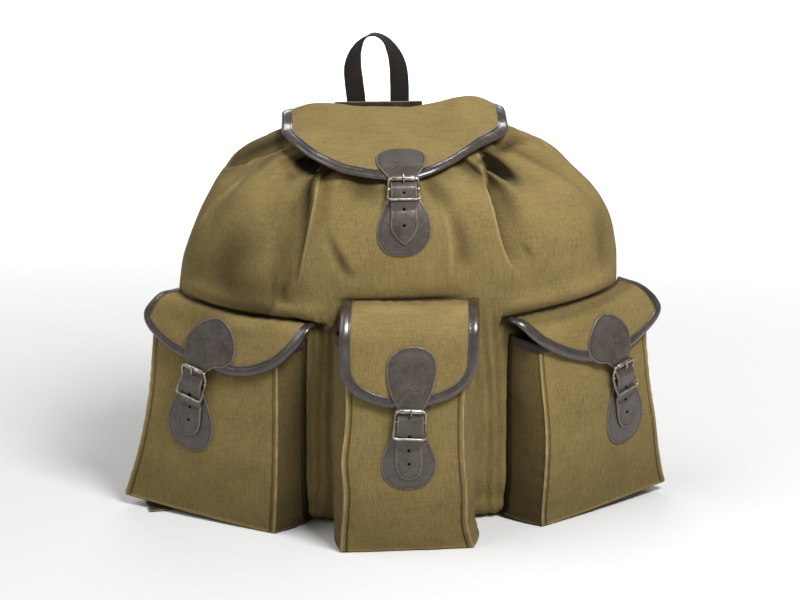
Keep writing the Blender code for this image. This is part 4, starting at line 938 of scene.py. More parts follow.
class Pocket:
    """A box pocket on the bag, with the surface of its flap."""

    def __init__(
        self, name, levels, seams, gussets, flap, strap_x, inner_shift=0.0, mirror=1, sway=0.0, wider=0.0
    ):
        self.name, self.gussets, self.flap, self.mirror, self.strap_x = name, gussets, flap, mirror, strap_x
        self.sway, self.wider = sway, wider
        table = np.array(levels) + np.array([0, inner_shift, 0, 0, 0, 0])
        flap_seams = flap.seams
        if mirror < 0:
            table = table[:, [0, 3, 4, 1, 2, 5]] * np.array([1, -1, 1, -1, 1, 1])
            seams, flap_seams = (-seams[1], -seams[0]), (-flap_seams[1], -flap_seams[0])
        self.table, self.seams, self.flap_seams = table, seams, flap_seams
        self.height = table[-1, 0]
        left, right = self.corners(self.height)
        self.width = np.linalg.norm(right - left)
        self.middle = -flap.inward * mirror
        self.right = unit((right - left) * np.array([1, 1, 0]))
        self.outwards = np.cross(self.right, np.array([0, 0, 1.0]))

    def corners(self, z):
        """Front corners at heights z, left being at lower x."""
        z = np.asarray(z, float)
        row = smooth_curve(self.table[:, 0], self.table[:, 1:], z)
        lifts = (0, row[..., 4]) if self.mirror > 0 else (row[..., 4], 0)
        sway = self.sway * np.sin(math.pi * np.clip(z / self.height, 0, 1)) ** 2
        return [
            np.stack([row[..., k] + move, row[..., k + 1], z + lift], -1)
            for k, lift, move in zip((0, 2), lifts, (sway, self.wider * smooth_step(0.0, 0.10, z)))
        ]

    def face(self, c, z):
        """Between the corners, plus a bulge: parabola across x half a sine wave up."""
        left, right = self.corners(z)
        c = np.asarray(c, float)[..., None]
        rise = np.sin(math.pi * np.clip(np.asarray(z) / self.height, 0, 1))[..., None]
        bulge = FACE_BULGE * np.maximum(0, 1 - (2 * c - 1) ** 2) * (END_BULGE + (1 - END_BULGE) * rise)
        return left * (1 - c) + right * c + self.outwards * bulge

    def behind(self, points, out):
        """A place on the finished cloth behind points in front of it, moved outwards."""
        z = points[..., 2].copy()
        for _ in range(5):
            left, right = self.corners(z)
            c = np.sum((points - left) * self.right, -1) / np.linalg.norm(right - left, axis=-1)
            z = z + points[..., 2] - self.face(c, z)[..., 2]
        return self.wall.at(np.interp(c, *self.face_places), -z, out)

    def flap_surface(self):
        """Columns of the flap, each a smooth curve from its seam over the crest and down the face."""
        flap = self.flap
        half = flap.shape.half
        across = np.linspace(-FLAP_MARGIN * half, FLAP_MARGIN * half, 121)
        down = np.linspace(0, flap.shape.drop + FLAP_BELOW, 231)
        c = 0.5 + (across + self.middle) / self.width
        held = np.clip(0.5 + across / half / 2, 0, 1)
        inner = held if self.mirror > 0 else 1 - held
        seam_height = flap.inner_height + (flap.outer_height - flap.inner_height) * inner
        share = self.flap_seams[0] + (self.flap_seams[1] - self.flap_seams[0]) * held
        start = bag_at(share, seam_height, np.full(len(share), SEAM_OUT))
        over = self.outwards * OVER
        face = [self.face(c, np.full(len(c), self.height * v)) + over for v in FACE_ROWS]
        lift = np.array([0, 0, FLAP_RISE])
        edge = face[0] - self.outwards * FLAP_EDGE_BACK + lift
        crest = edge * 0.5 + start * 0.5 + lift
        profiles = np.stack([start, crest, edge, *face[1:]], 1)
        points = np.stack([smooth_curve(path_lengths(p), p, down) for p in profiles], 1)
        return Surface(down, across, self.flap_detail(points, across, down))

    def flap_detail(self, points, across, down):
        """Soft dents, and small puckers that fade away from the seam, along the normal."""
        side = points[..., 0]
        out = dents(points, FLAP_DENTS)
        pucker = 0.0004 * np.sin(across[None] * 2 * math.pi / 0.017 + 5 * soft_noise(points, 0.03, 13))
        out = out + pucker * np.exp(-down[:, None] / 0.012)
        calm = smooth_step(0.020, 0.036, np.abs(across - self.strap_x))[None] * np.ones_like(side)
        calm = np.maximum(calm, 1 - smooth_step(0.2, 0.5, down / self.flap.shape.drop)[:, None])
        return points + grid_normals(points) * (out * calm)[..., None]


# %% A pocket's mesh
POCKET_DENTS, POCKET_SEAM_OUT = ((0.0030, 0.075, 22), (0.0011, 0.028, 23)), 0.0012


def add_pocket(pocket):
    """Columns go left gusset, face, right gusset; rows go mouth, bottom edge, back of the base."""
    t = np.linspace(0, 1, 27)[:-1]
    gusset = 1 - (1 - t) ** 1.6
    face = 0.5 - 0.5 * np.cos(math.pi * np.linspace(0, 1, 63))
    z = pocket.height * np.linspace(1, 0, 96) ** 1.25
    left, right = pocket.corners(z)
    seam_z = np.maximum(z, LOWEST_SEAM)
    sides = []
    foot = GUSSET_FOOT * smooth_step(0.11, 0.01, z)[:, None, None] * (pocket.name != "centre")
    for share, corner, side, row in zip(pocket.seams, (left, right), (-1, 1), pocket.gussets):
        outer = side == pocket.mirror
        rise = MOUTH_RISE * smooth_step(0.10, 0.21, z) * (not outer and pocket.name != "centre")
        seam = bag_at(np.full(len(z), share), seam_z + rise, np.full(len(z), POCKET_SEAM_OUT))
        full = (row.full + foot * outer) * side * np.sin(math.pi * gusset)[:, None] * pocket.right
        sides.append(seam[:, None] * (1 - gusset)[:, None] + corner[:, None] * gusset[:, None] + full)
    front = pocket.face(face[None] + 0 * z[:, None], z[:, None] + 0 * face[None])
    wall = np.concatenate([sides[0], front, sides[1][:, ::-1]], 1)
    to_front = np.linspace(1, 0, 15)[1:, None, None]
    at_back = np.linspace(*pocket.seams, wall.shape[1])
    back = bag_at(at_back, *[np.full(len(at_back), v) for v in (LOWEST_SEAM, POCKET_SEAM_OUT)])
    back[0], back[-1] = wall[-1, 0], wall[-1, -1]
    grid = np.concatenate([wall, back * (1 - to_front) + wall[-1] * to_front])

    place = path_lengths(wall[60])
    first, last = place[len(gusset)], place[len(gusset) + len(face) - 1]
    from_welt = np.minimum(np.abs(place - first), np.abs(place - last))[None]
    from_seam = np.minimum(place, place[-1] - place)[None]
    up = np.concatenate([z, np.zeros(len(to_front))])[:, None]
    from_bottom = np.concatenate([z, np.linspace(0.004, 0.05, len(to_front))])[:, None]
    normal = grid_normals(grid)
    welt = np.maximum(hump(from_welt, WELT_WIDTH) * (up > 0), hump(from_bottom, WELT_WIDTH))
    near = np.minimum(np.minimum(from_welt, from_seam + 0.004), from_bottom)
    wave = np.sin((up + place[None] * 0.35) * 2 * math.pi / 0.021 + 5 * soft_noise(grid, 0.035, 21))
    pucker = 0.00035 * wave * (0.6 + soft_noise(grid, 0.05, 25)) * np.exp(-near / 0.010)
    inside = smooth_step(0.0, 0.030, near)
    local = np.sum((grid - pocket.face(0.5, pocket.height * 0.5)) * pocket.right, -1)
    calm = quiet(local, grid[..., 2], pocket.strap_x + pocket.middle, pocket.height * 0.40, 0.040, 0.075)
    depth = WELT_HEIGHT * welt + pucker + dents(grid, POCKET_DENTS) * inside * calm
    moved = grid + normal * depth[..., None]
    moved[..., 2] = np.maximum(moved[..., 2], 0.0004)
    metres = joined(place[None], path_lengths(grid[:, 40])[:, None])
    worn = np.clip(hump(from_welt, 0.0014) * (up > 0) + 0.7 * hump(from_bottom, 0.0014), 0, 1)
    worn = worn * (0.75 + 0.4 * soft_noise(grid, 0.012, 24))
    on_face = (place >= first) & (place <= last)
    # Painted shade in a thin line along the seam inside each welt, where the seam sinks in
    groove = hump(from_welt - WELT_SEAM, 0.0011) * (up > 0) * on_face * 0.75
    # Painted shade, darker towards the bottom of the pocket and a little over all of it
    painted_low_shade = (1 - smooth_step(0.0, 0.11, up)) * 0.16 + 0.05
    # Painted shade along the seams to the bag, and over each gusset by its share
    painted_gusset_shade = 0.5 * hump(from_seam, 0.004) + 0.5 * hump(from_seam - 0.007, 0.0012)
    for away, row in zip((place < first, place > last), pocket.gussets):
        painted_gusset_shade = painted_gusset_shade + row.shade * away
    marks = {"worn": worn, "shaded": np.clip(groove + painted_low_shade + painted_gusset_shade, 0, 1)}
    marks = {k: np.broadcast_to(v, grid.shape[:2]) for k, v in marks.items()}
    add_slab(
        "pocket_cloth_" + pocket.name, moved, CANVAS, canvas,
        ["pocket_" + pocket.name], metres, marks, rim_steps=2,
    )
    pocket.wall = Surface(-z, place, moved[: len(z)])
    pocket.face_places = face, place[len(gusset) : len(gusset) + len(face)]


pockets = [
    Pocket("left", SIDE_POCKET, LEFT_SEAMS, LEFT_GUSSETS, LEFT_FLAP, -0.027, inner_shift=-0.005, mirror=-1),
    Pocket("centre", CENTRE_POCKET, CENTRE_SEAMS, CENTRE_GUSSETS, CENTRE_FLAP, 0.0025),
    Pocket(
        "right", SIDE_POCKET, RIGHT_SEAMS, RIGHT_GUSSETS, RIGHT_FLAP, 0.036,
        inner_shift=0.006, sway=0.006, wider=0.008,
    ),
]
for pocket in pockets:
    add_pocket(pocket)

# %% [markdown]
# ## Flaps, lid and bindings
# A flap starts at its seam on the bag, runs over the pocket's front edge and hangs before the
# face. Its outline is straight at the sides and rounded below, so the cloth is a patch stretched
# between its four edges. The binding is a strip of leather folded over the edge and sewn through.

# %% Flap outline and cloth
FLAP_CORNER = 0.80


def edge_length(across, shape):
    """Straight part plus the rest x (1 - (way from the lowest place, over its reach) to a power), rooted."""
    toward = np.asarray(across, float) - shape.lowest
    right = toward > 0
    reach = shape.half - shape.lowest * np.where(right, 1, -1)
    straight, rounding = [np.where(right, shape.right[k], shape.left[k]) for k in (0, 1)]
    part = np.clip(np.abs(toward / reach), 0, 1)
    return straight + (shape.drop - straight) * (1 - part**rounding) ** (1 / rounding)


def flap_edges(shape):
    """The left side, the lower edge from left to right and the right side, as (across, down) places."""
    turn = np.cos(np.linspace(math.pi, 0, 961))
    across = shape.lowest + turn * (shape.half - shape.lowest * np.sign(turn))
    curve = np.stack([across, edge_length(across, shape)], -1)
    first, last = np.searchsorted(across, (-FLAP_CORNER * shape.half, FLAP_CORNER * shape.half))
    left = np.concatenate([[(-shape.half, 0)], curve[: first + 1]])
    right = np.concatenate([[(shape.half, 0)], curve[last:][::-1]])
    return left, curve[first : last + 1], right


def flap_places(shape, rows, columns):
    """Patch between four edges: blend of top and bottom plus blend of the sides less the corners."""
    left, low, right = flap_edges(shape)
    left, low, right = even_path(left, rows), even_path(low, columns), even_path(right, rows)
    u, v = np.linspace(0, 1, columns)[None, :, None], np.linspace(0, 1, rows)[:, None, None]
    top = left[0] * (1 - u) + right[0] * u
    corners = (1 - v) * top + v * ((1 - u) * low[0] + u * low[-1])
    return (1 - v) * top + v * low + (1 - u) * left[:, None] + u * right[:, None] - corners


def add_flap(name, surface, shape, thickness, rows, columns, replaces, top=0.0):
    """The cloth, with painted shade along its seam, and over the part between its seam and its crest by the
    share top.
    """
    places = flap_places(shape, rows, columns)
    points = surface.at(places[..., 0], places[..., 1])
    crest = 1 - smooth_step(0.014, 0.024, places[..., 1])
    seam = np.maximum(1.4 * hump(places[..., 1], 0.004), top * crest)
    ridge = 0.5 * np.clip(soft_noise(points, 0.03, 31), 0, 1) * hump(places[..., 1] - 0.25 * shape.drop, 0.01)
    add_slab(
        name, points, thickness, canvas, replaces, places,
        {"worn": ridge, "shaded": 0.60 * np.clip(seam, 0, 1.4)},
    )


# %% Bindings and stitches
# Section of a binding: inward is the distance in from the cloth's edge, out is off its outer face
BindingPoint = namedtuple("BindingPoint", "inward out")
BINDING = table(
    BindingPoint, (0.0100, 0.0002), (0.0100, 0.0008), (0.0090, 0.0011), (0.0078, 0.0008),
    (0.0062, 0.0013), (0.0042, 0.0017), (0.0018, 0.0017), (-0.0004, 0.0011), (-0.0018, -0.0002),
    (-0.0021, -0.0012), (-0.0016, -0.0024), (0.0004, -0.0034), (0.0060, -0.0034), (0.0095, -0.0031),
    (0.0095, -0.0021), (0.0010, -0.0021), (0.0008, 0.0002),
)
STITCH = {"binding": (0.0046, 0.0034, 0.00042), "patch": (0.0040, 0.0029, 0.00038)}


def binding_path(shape, count):
    """The free edge from one seam end round to the other, and the direction into the cloth."""
    left, low, right = flap_edges(shape)
    edge = even_path(np.concatenate([left, low[1:-1], right[::-1]]), count)
    along = direction(edge)
    return edge, along[:, ::-1] * (1, -1)


def over_edge(surface, edge, inward, section):
    """Section places laid on the surface: edge + inward x distance, moved out along the normal."""
    section = np.array(section)
    place = edge[:, None] + inward[:, None] * np.maximum(section[:, 0], 0)[None, :, None]
    points = surface.at(place[..., 0], place[..., 1], np.broadcast_to(section[:, 1], place.shape[:2]))
    step = surface.at(edge[:, 0] + inward[:, 0] * 0.002, edge[:, 1] + inward[:, 1] * 0.002)
    away = unit(surface.at(edge[:, 0], edge[:, 1]) - step)
    return points + away[:, None] * np.maximum(-section[:, 0], 0)[None, :, None]


def add_stitches(name, path, normal, kind):
    """A row of stitches: each is a short thread whose ends dip into the leather."""
    pitch, length, radius = STITCH[kind]
    run = path_lengths(path)
    count = max(2, int(run[-1] / pitch))
    start = (np.arange(count) + 0.5) * run[-1] / count - length / 2
    t = np.linspace(0, 1, 5)
    at = start[:, None] + t * length
    centre = np.stack([np.interp(at, run, path[:, k]) for k in range(3)], -1)
    up = unit(np.stack([np.interp(at, run, normal[:, k]) for k in range(3)], -1))
    along = unit(np.gradient(centre, axis=1))
    side = np.cross(along, up)
    thick = radius * np.array([0.0, 0.95, 1.0, 0.95, 0.0])
    centre = centre + up * (radius * np.array([-1.2, 0.15, 0.5, 0.15, -1.2]))[:, None]
    turn = turns(6)
    around = side[:, :, None] * np.cos(turn)[:, None] + up[:, :, None] * np.sin(turn)[:, None]
    points = centre[:, :, None] + around * thick[:, None, None]
    one = quads(5, 6, around=True)
    faces = one[None] + (np.arange(count) * 30)[:, None, None]
    add_piece(name, points, faces.reshape(-1, 4), dark_thread)


STITCH_READ = 0.001


def stitch_on(name, face, across, down, kind):
    """Stitches on a face; its outward way is read between two heights over it."""
    low, high = [face.at(across, down, np.full(len(down), out)) for out in (0.0, STITCH_READ)]
    add_stitches(name, low, unit(high - low), kind)


def add_binding(name, surface, shape, count, replaces):
    edge, inward = binding_path(shape, count)
    section = np.array(BINDING)
    points = over_edge(surface, edge, inward, section)
    points = points + grid_normals(points) * 0.0002 * soft_noise(points, 0.012, 41)[..., None]
    stack = pinched(points)
    cut = np.zeros(len(section))
    cut[[0, 1, 13, 14]] = 1.0
    marks = {"cut_edge": np.broadcast_to(cut, stack.shape[:2])}
    faces = quads(*stack.shape[:2], around=True)[:, ::-1]
    add_piece(name + "_leather", stack, faces, binding_leather, replaces, None, marks)
    line = over_edge(surface, edge, inward, [(0.0078, 0.0008), (0.0078, 0.0018)])
    add_stitches(name + "_stitches", line[3:-3, 0], unit(line[:, 1] - line[:, 0])[3:-3], "binding")


# FLAP_TOPS gives the share of painted shade on each flap between its seam and its crest
flap_faces, FLAP_TOPS = {}, {"left": 0.0, "centre": 0.15, "right": 0.6}
for pocket in pockets:
    name, shape, top = "flap_" + pocket.name, pocket.flap.shape, FLAP_TOPS[pocket.name]
    flap_faces[pocket.name] = pocket.flap_surface()
    add_flap("flap_cloth_" + pocket.name, flap_faces[pocket.name], shape, CANVAS, 70, 90, [name], top)
    add_binding("binding_" + pocket.name, flap_faces[pocket.name], shape, 260, [name + "_binding"])

# %% The lid
LID_CANVAS = 0.0020
LID_SHAPE = FlapShape(0.1265, 0.214, 0.0, (0.100, 1.60), (0.100, 1.60))
LID_DROOP, LID_DENTS = 0.010, ((0.0022, 0.055, 51), (0.0009, 0.020, 52))
LidRow = namedtuple("LidRow", "back height hump droop")
LID_PROFILE = table(
    LidRow,
    (0.1044, 0.4080, 0.0, 0.0),
    (0.1004, 0.4370, 0.3, 0.5),
    (0.0840, 0.4540, 1.0, 1.0),
    (0.0320, 0.4400, 0.7, 0.5),
    (-0.0250, 0.4200, 0.2, 0.5),
    (-0.0720, 0.3975, 0.0, 0.5),
)
LID_FRONT = (0.3850, 0.3700, 0.3500, 0.3000)
Hump = namedtuple("Hump", "across width lift")
LID_HUMPS = table(
    Hump,
    (-0.090, 0.030, 0.004),
    (0.000, 0.050, -0.0055),
    (0.090, 0.034, 0.0095),
)
# The left half hangs lower: its cloth runs this share further along the profile
LID_SLACK = Hump(across=-0.086, width=0.042, lift=0.125)


def bag_front(x, height, out):
    """The smooth front of the bag at across places, moved forwards."""
    centre, half, front, middle, _, power = np.moveaxis(bag_level(height), -1, 0)
    s = np.clip(np.abs(x - centre) / half, 0, 0.97) ** (1 / power)
    y = middle + (front - middle) * (1 - s * s) ** (power / 2)
    return np.stack([x, y - out, height + 0 * x], -1)


def lid_surface():
    """Columns from the back seam over the top and down in front of the bag, with humps across."""
    across, down = np.linspace(-0.134, 0.134, 161), np.linspace(0, 0.312, 231)
    lift = sum(row.lift * hump(across - row.across, row.width) for row in LID_HUMPS)
    droop = LID_DROOP * (across / LID_SHAPE.half) ** 4
    rows = [joined(across, r.back, r.height + r.hump * lift - r.droop * droop) for r in LID_PROFILE]
    rows += [bag_front(across, np.full(len(across), h), OVER) for h in LID_FRONT]
    profiles = np.stack(rows, 1)
    longer = 1 + LID_SLACK.lift * hump(across - LID_SLACK.across, LID_SLACK.width)
    points = np.stack([smooth_curve(path_lengths(p), p, down * k) for p, k in zip(profiles, longer)], 1)
    calm = np.clip(smooth_step(0.018, 0.034, np.abs(across))[None] + (down < 0.13)[:, None], 0, 1)
    return Surface(down, across, points + grid_normals(points) * (dents(points, LID_DENTS) * calm)[..., None])


lid_face = lid_surface()
add_flap("lid_cloth", lid_face, LID_SHAPE, LID_CANVAS, 110, 110, ["lid"])
add_binding("binding_lid", lid_face, LID_SHAPE, 320, ["lid_binding"])


# %% Mouth tapes
# A woven tape folded over the pocket's mouth; it shows where the right flap leaves the gusset bare.
TAPE = (
    (0.0082, 0.0003), (0.0082, 0.0009), (0.0010, 0.0011), (-0.0010, 0.0006), (-0.0016, -0.0009),
    (-0.0010, -0.0024), (0.0010, -0.0029), (0.0082, -0.0027), (0.0082, -0.0021), (0.0004, -0.0021),
    (0.0004, 0.0003),
)


def add_tape(pocket):
    across = pocket.wall.across[-3:1:-1]
    edge = np.stack([across, np.full(len(across), -pocket.height)], -1)
    inward = np.broadcast_to(np.array([0.0, 1.0]), edge.shape)
    points = over_edge(pocket.wall, edge, inward, TAPE)
    metres = joined(np.array(TAPE)[None, :, 0], edge[:, :1])
    add_piece(
        "tape_" + pocket.name, points, quads(*points.shape[:2], around=True)[:, ::-1], tape,
        ["mouth_tape_" + pocket.name], metres,
    )


for pocket in pockets:
    add_tape(pocket)

# %% [markdown]
# ## Closures
# A patch sewn on the flap narrows into a 25 mm strap. It passes under the buckle's roller, over its
# middle bar and under its low bar. A second patch, sewn on the pocket, is folded round the middle
# bar and holds the buckle. Each closure has a centre line on the cloth, with s the length along it
# from the roller, and a stiff frame for the part inside the buckle.

# %% A closure's centre line
ROLLER_BELOW_EDGE, FRAME_REACH, FRAME_LENGTH = 0.0036, 0.0160, 0.0310
PATCH_TURN = 50.0
# Where each closure lies on its flap, how far below the edge, how long its buckle is and how it leans
Placed = namedtuple("Placed", "across lower long lean")
PLACED = table(
    Placed,
    (-0.027, 0.001, 1.12, -12.0),
    (0.0025, 0.0, 1.0, 0.0),
    (0.036, 0.0070, 1.05, 8.0),
)


class Closure:
    """Places on a closure: on the flap above the roller, stiff in the buckle, on the cloth below it."""

    def __init__(self, name, surface, below, across, down, turn=0.0, lean=0.0, short=1.0):
        self.name, self.surface, self.below, self.short = name, surface, below, short
        s = np.linspace(-0.080, 0.110, 381)
        turned = turn * (1 - smooth_step(-0.045, -0.004, s))
        angle = np.radians(turned + lean * (1 - smooth_step(0.030, 0.055, s)))
        line = np.cumsum(np.stack([np.sin(angle), np.cos(angle)], -1) * (s[1] - s[0]), axis=0)
        line += np.array([across, down]) - [np.interp(0, s, line[:, k]) for k in (0, 1)]
        self.s, self.angle, self.line = s, angle, line
        self.origin = self.on_flap(0.0, 0.0, 0.0)
        self.down = unit(self.on_flap(0.03, 0.0, 0.0) - self.origin)
        self.across = unit(np.cross(self.on_flap(0.0, 0.0, 0.01) - self.origin, self.down))
        self.out = np.cross(self.down, self.across)

    def real(self, s):
        """Length along the closure, with the part inside a buckle of a smaller size drawn together."""
        end, rest = FRAME_LENGTH * self.short, 1 - FRAME_LENGTH * (1 - self.short)
        return np.interp(s, (-1, 0, FRAME_LENGTH, 1), (-1, 0, end, rest))

    def on_flap(self, s, aside, out):
        s, aside, out = np.broadcast_arrays(*[np.asarray(v, float) for v in (s, aside, out)])
        s = self.real(s)
        across, down = [np.interp(s, self.s, self.line[:, k]) for k in (0, 1)]
        angle = np.interp(s, self.s, self.angle)
        return self.surface.at(across + aside * np.cos(angle), down - aside * np.sin(angle), out)

    def on_cloth(self, s, aside, out):
        """Off the pocket or the bag, behind the place that the flap's surface would have."""
        return self.below(self.on_flap(s, aside, 0.0), out)

    def stiff(self, s, aside, out):
        s, aside, out = [np.asarray(v, float)[..., None] for v in (self.real(s), aside, out)]
        return self.origin + self.across * aside + self.down * s + self.out * out

    def at(self, s, aside, out):
        """Flap, stiff and cloth places, with a smooth step from each to the next."""
        s, aside, out = np.broadcast_arrays(*[np.asarray(v, float) for v in (s, aside, out)])
        stiff = smooth_step(-0.007, 0.001, s)[..., None]
        low = smooth_step(0.030, 0.044, s)[..., None]
        points = self.on_flap(s, aside, out) * (1 - stiff) + self.stiff(s, aside, out) * stiff
        return points * (1 - low) + self.on_cloth(s, aside, out) * low


def bag_front_surface():
    """The bag's front with its folds, as a surface over x."""
    x = np.linspace(-0.060, 0.060, 61)
    front = np.concatenate([bag_points[:, -91:-1], bag_points[:, :91]], 1)
    y = np.array([np.interp(x, row[:, 0], row[:, 1]) for row in front])
    z = np.array([np.interp(x, row[:, 0], row[:, 2]) for row in front])
    return Surface(-BAG_HEIGHTS, x, np.stack([np.broadcast_to(x, y.shape), y, z], -1))


bag_front_face = bag_front_surface()


def behind_lid(points, out):
    return bag_front_face.at(points[..., 0], -points[..., 2], out)


closures = {}
for pocket, row in zip(pockets, PLACED):
    reach = edge_length(row.across + FRAME_REACH * np.array([-1, 0, 1]), pocket.flap.shape).max()
    side = 0 if pocket.name == "centre" else pocket.mirror
    closures[pocket.name] = Closure(
        pocket.name, flap_faces[pocket.name], pocket.behind, row.across,
        reach + ROLLER_BELOW_EDGE + row.lower, PATCH_TURN * side, row.lean, row.long,
    )
reach = edge_length(FRAME_REACH * np.array([-1, 0, 1]), LID_SHAPE).max()
closures["lid"] = Closure("lid", lid_face, behind_lid, 0.0, reach + ROLLER_BELOW_EDGE, short=0.76)
print("closures", *closures)

# %% Straps, from the upper patch to the tip
StrapRow = namedtuple("StrapRow", "s out half_width")
UPPER_PATCH = table(
    StrapRow, (-0.0676, 0.0020, 0.0006), (-0.0670, 0.0022, 0.0060), (-0.0635, 0.0024, 0.0155),
    (-0.0550, 0.0025, 0.0245), (-0.0440, 0.0026, 0.0267), (-0.0310, 0.0030, 0.0256),
    (-0.0180, 0.0042, 0.0218), (-0.0060, 0.0046, 0.0160),
)
IN_BUCKLE = table(
    StrapRow, (0.0000, 0.0045, 0.0132), (0.0065, 0.0064, 0.0132), (0.0130, 0.0078, 0.0132),
    (0.0205, 0.0058, 0.0132), (0.0310, 0.0024, 0.0132), (0.0460, 0.0048, 0.0132),
)
ROUND_TIP = table(
    StrapRow, (0.0640, 0.0046, 0.0131), (0.0712, 0.0048, 0.0110), (0.0754, 0.0050, 0.0070),
    (0.0774, 0.0050, 0.0006),
)
POINTED_TIP = table(
    StrapRow, (0.0630, 0.0044, 0.0131), (0.0672, 0.0044, 0.0112), (0.0728, 0.0044, 0.0068),
    (0.0785, 0.0043, 0.0006),
)
STRAP_LEATHER = 0.0022
ACROSS = np.sin(np.linspace(-1, 1, 19) * math.pi / 2)
STITCH_INSET, GROOVE, OUTLINE_STEP = 0.0022, 0.0004, 0.0011
HOLE_PLACES, LID_HOLES, HOLE_RADIUS = (0.0285, 0.0455, 0.0605), (0.0214, 0.0420, 0.0590), 0.0018


def outline_rows(rows):
    """Rows of (s, out, half width) at even steps along the outline's own length."""
    rows = np.array(rows)
    length = path_lengths(rows[:, [0, 2]])
    return smooth_curve(length, rows, np.linspace(0, length[-1], int(length[-1] / OUTLINE_STEP)))


def leather_grid(rows, place, flip=1):
    """A grid of leather between its two edges: grooved along the stitches and thinned at the edge."""
    s, out, half = [rows[:, k, None] for k in range(3)]
    aside = half * ACROSS[None] * flip
    inset = half * (1 - np.abs(ACROSS))[None]
    ends = np.minimum(np.abs(s - rows[0, 0]), np.abs(s - rows[-1, 0]))
    inset = np.minimum(inset, ends + 0 * inset)
    pressed = GROOVE * hump(inset - STITCH_INSET, 0.0009) + 0.0003 * hump(inset, 0.0006)
    metres = joined(aside, s)
    return place(s + 0 * aside, aside, out - pressed), metres, hump(inset, 0.0005)


def inset_line(rows, inset):
    """The outline moved inwards, from one edge round the first row to the other: places (aside, s)."""
    side = rows[:, [2, 0]]
    outline = np.concatenate([side[::-1] * (-1, 1), side])
    along = direction(outline)
    return even_path(outline + along[:, ::-1] * (-1, 1) * inset * np.sign(rows[-1, 0] - rows[0, 0]), 400)


def stitch_rows(name, lines, face, half_at):
    """Stitches along lines of (aside, s) places on a leather grid."""
    for k, line in enumerate(lines):
        stitch_on(f"{name}_{k}", face, line[:, 0] / half_at(line[:, 1]), line[:, 1] * face.way, "patch")


def add_hole_shadows(name, face, places):
    """Painted shadow: black rounds sunk in the strap's dents, where one sees through a punched hole."""
    turn = turns(16)
    radius = HOLE_RADIUS * np.array([0.0, 0.5, 0.85, 1.0])
    out = np.array([0.0003, 0.0003, 0.0003, -0.0004])
    x, s = [radius[:, None] * way for way in (np.cos(turn), np.sin(turn))]
    share, out = x / IN_BUCKLE[0].half_width, out[:, None] + 0 * x
    disc = np.concatenate([face.at(share, at + s, out)[None] for at in places])
    one = quads(4, 16, around=True)[:, ::-1]
    faces = one[None] + (np.arange(len(places)) * 64)[:, None, None]
    add_piece(name, disc, faces.reshape(-1, 4), hole_black)


def add_strap(closure, tip, holes, upper_scale):
    upper = [row._replace(s=row.s * upper_scale) for row in UPPER_PATCH]
    rows = outline_rows([*upper, *IN_BUCKLE, *tip])
    points, metres, edge = leather_grid(rows, closure.at)
    for s in holes:
        away = np.linalg.norm(metres - (0, s), axis=-1)
        points = points - grid_normals(points) * (0.0006 * hump(away, HOLE_RADIUS))[..., None]
    name = "strap_" + closure.name
    add_slab(
        name + "_leather", points, STRAP_LEATHER, leather, [name], metres,
        {"edge": edge},
    )
    face = Surface(rows[:, 0], ACROSS, points)
    face.way = 1
    add_hole_shadows(name + "_holes", face, holes)
    half_at = lambda s: np.interp(s, rows[:, 0], rows[:, 2])
    top = rows[rows[:, 0] < -0.0085]
    bottom = rows[rows[:, 0] > 0.0575][::-1]
    reach = half_at(-0.0095) - STITCH_INSET
    apex, foot = (0.0, -0.0285 * upper_scale), (reach, -0.0095)
    chevron = np.array([(-foot[0], foot[1]), apex, foot])
    lines = [inset_line(top, STITCH_INSET), even_path(chevron, 200), inset_line(bottom, STITCH_INSET)]
    stitch_rows(name + "_stitches", lines, face, half_at)


# %% Lower patches
LOWER_PATCH = table(
    StrapRow, (0.0866, 0.0018, 0.0006), (0.0860, 0.0018, 0.0085), (0.0815, 0.0019, 0.0190),
    (0.0720, 0.0019, 0.0270), (0.0610, 0.0019, 0.0290), (0.0500, 0.0019, 0.0270),
    (0.0400, 0.0020, 0.0225), (0.0320, 0.0026, 0.0180), (0.0230, 0.0040, 0.0125),
)
PATCH_LEATHER = 0.0014
MIDDLE_BAR, MIDDLE_BAR_RADIUS, WIRE_RADIUS = (0.0130, 0.0018), 0.0014, 0.0015


def add_lower_patch(closure, scale):
    neck = LOWER_PATCH[-1]
    rows = outline_rows([row._replace(s=neck.s + (row.s - neck.s) * scale) for row in LOWER_PATCH])
    points, metres, edge = leather_grid(rows, closure.on_cloth, -1)
    turn = np.radians(np.linspace(-90, -300, 15))[:, None]
    radius = MIDDLE_BAR_RADIUS + 0.0004
    s, out = MIDDLE_BAR[0] + radius * np.cos(turn), MIDDLE_BAR[1] + radius * np.sin(turn)
    wrapped = closure.stiff(s + 0 * ACROSS, -neck.half_width * ACROSS + 0 * s, out + 0 * ACROSS)
    whole = np.concatenate([points, wrapped])
    ahead = neck.s - 0.004 - 0.0007 * np.arange(len(turn))[:, None]
    more = joined(-neck.half_width * ACROSS[None], ahead)
    name = "patch_" + closure.name
    marks = {"edge": np.concatenate([edge, 0 * wrapped[..., 0]])}
    add_slab(
        name + "_leather", whole, PATCH_LEATHER, leather, [name],
        np.concatenate([metres, more]), marks,
    )
    face = Surface(-rows[:, 0], -ACROSS[::-1], points)
    face.way = -1
    half_at = lambda s: -np.interp(s, rows[::-1, 0], rows[::-1, 2])
    low = rows[rows[:, 0] > 0.034]
    stitch_rows(name + "_stitches", [inset_line(low, STITCH_INSET)], face, half_at)


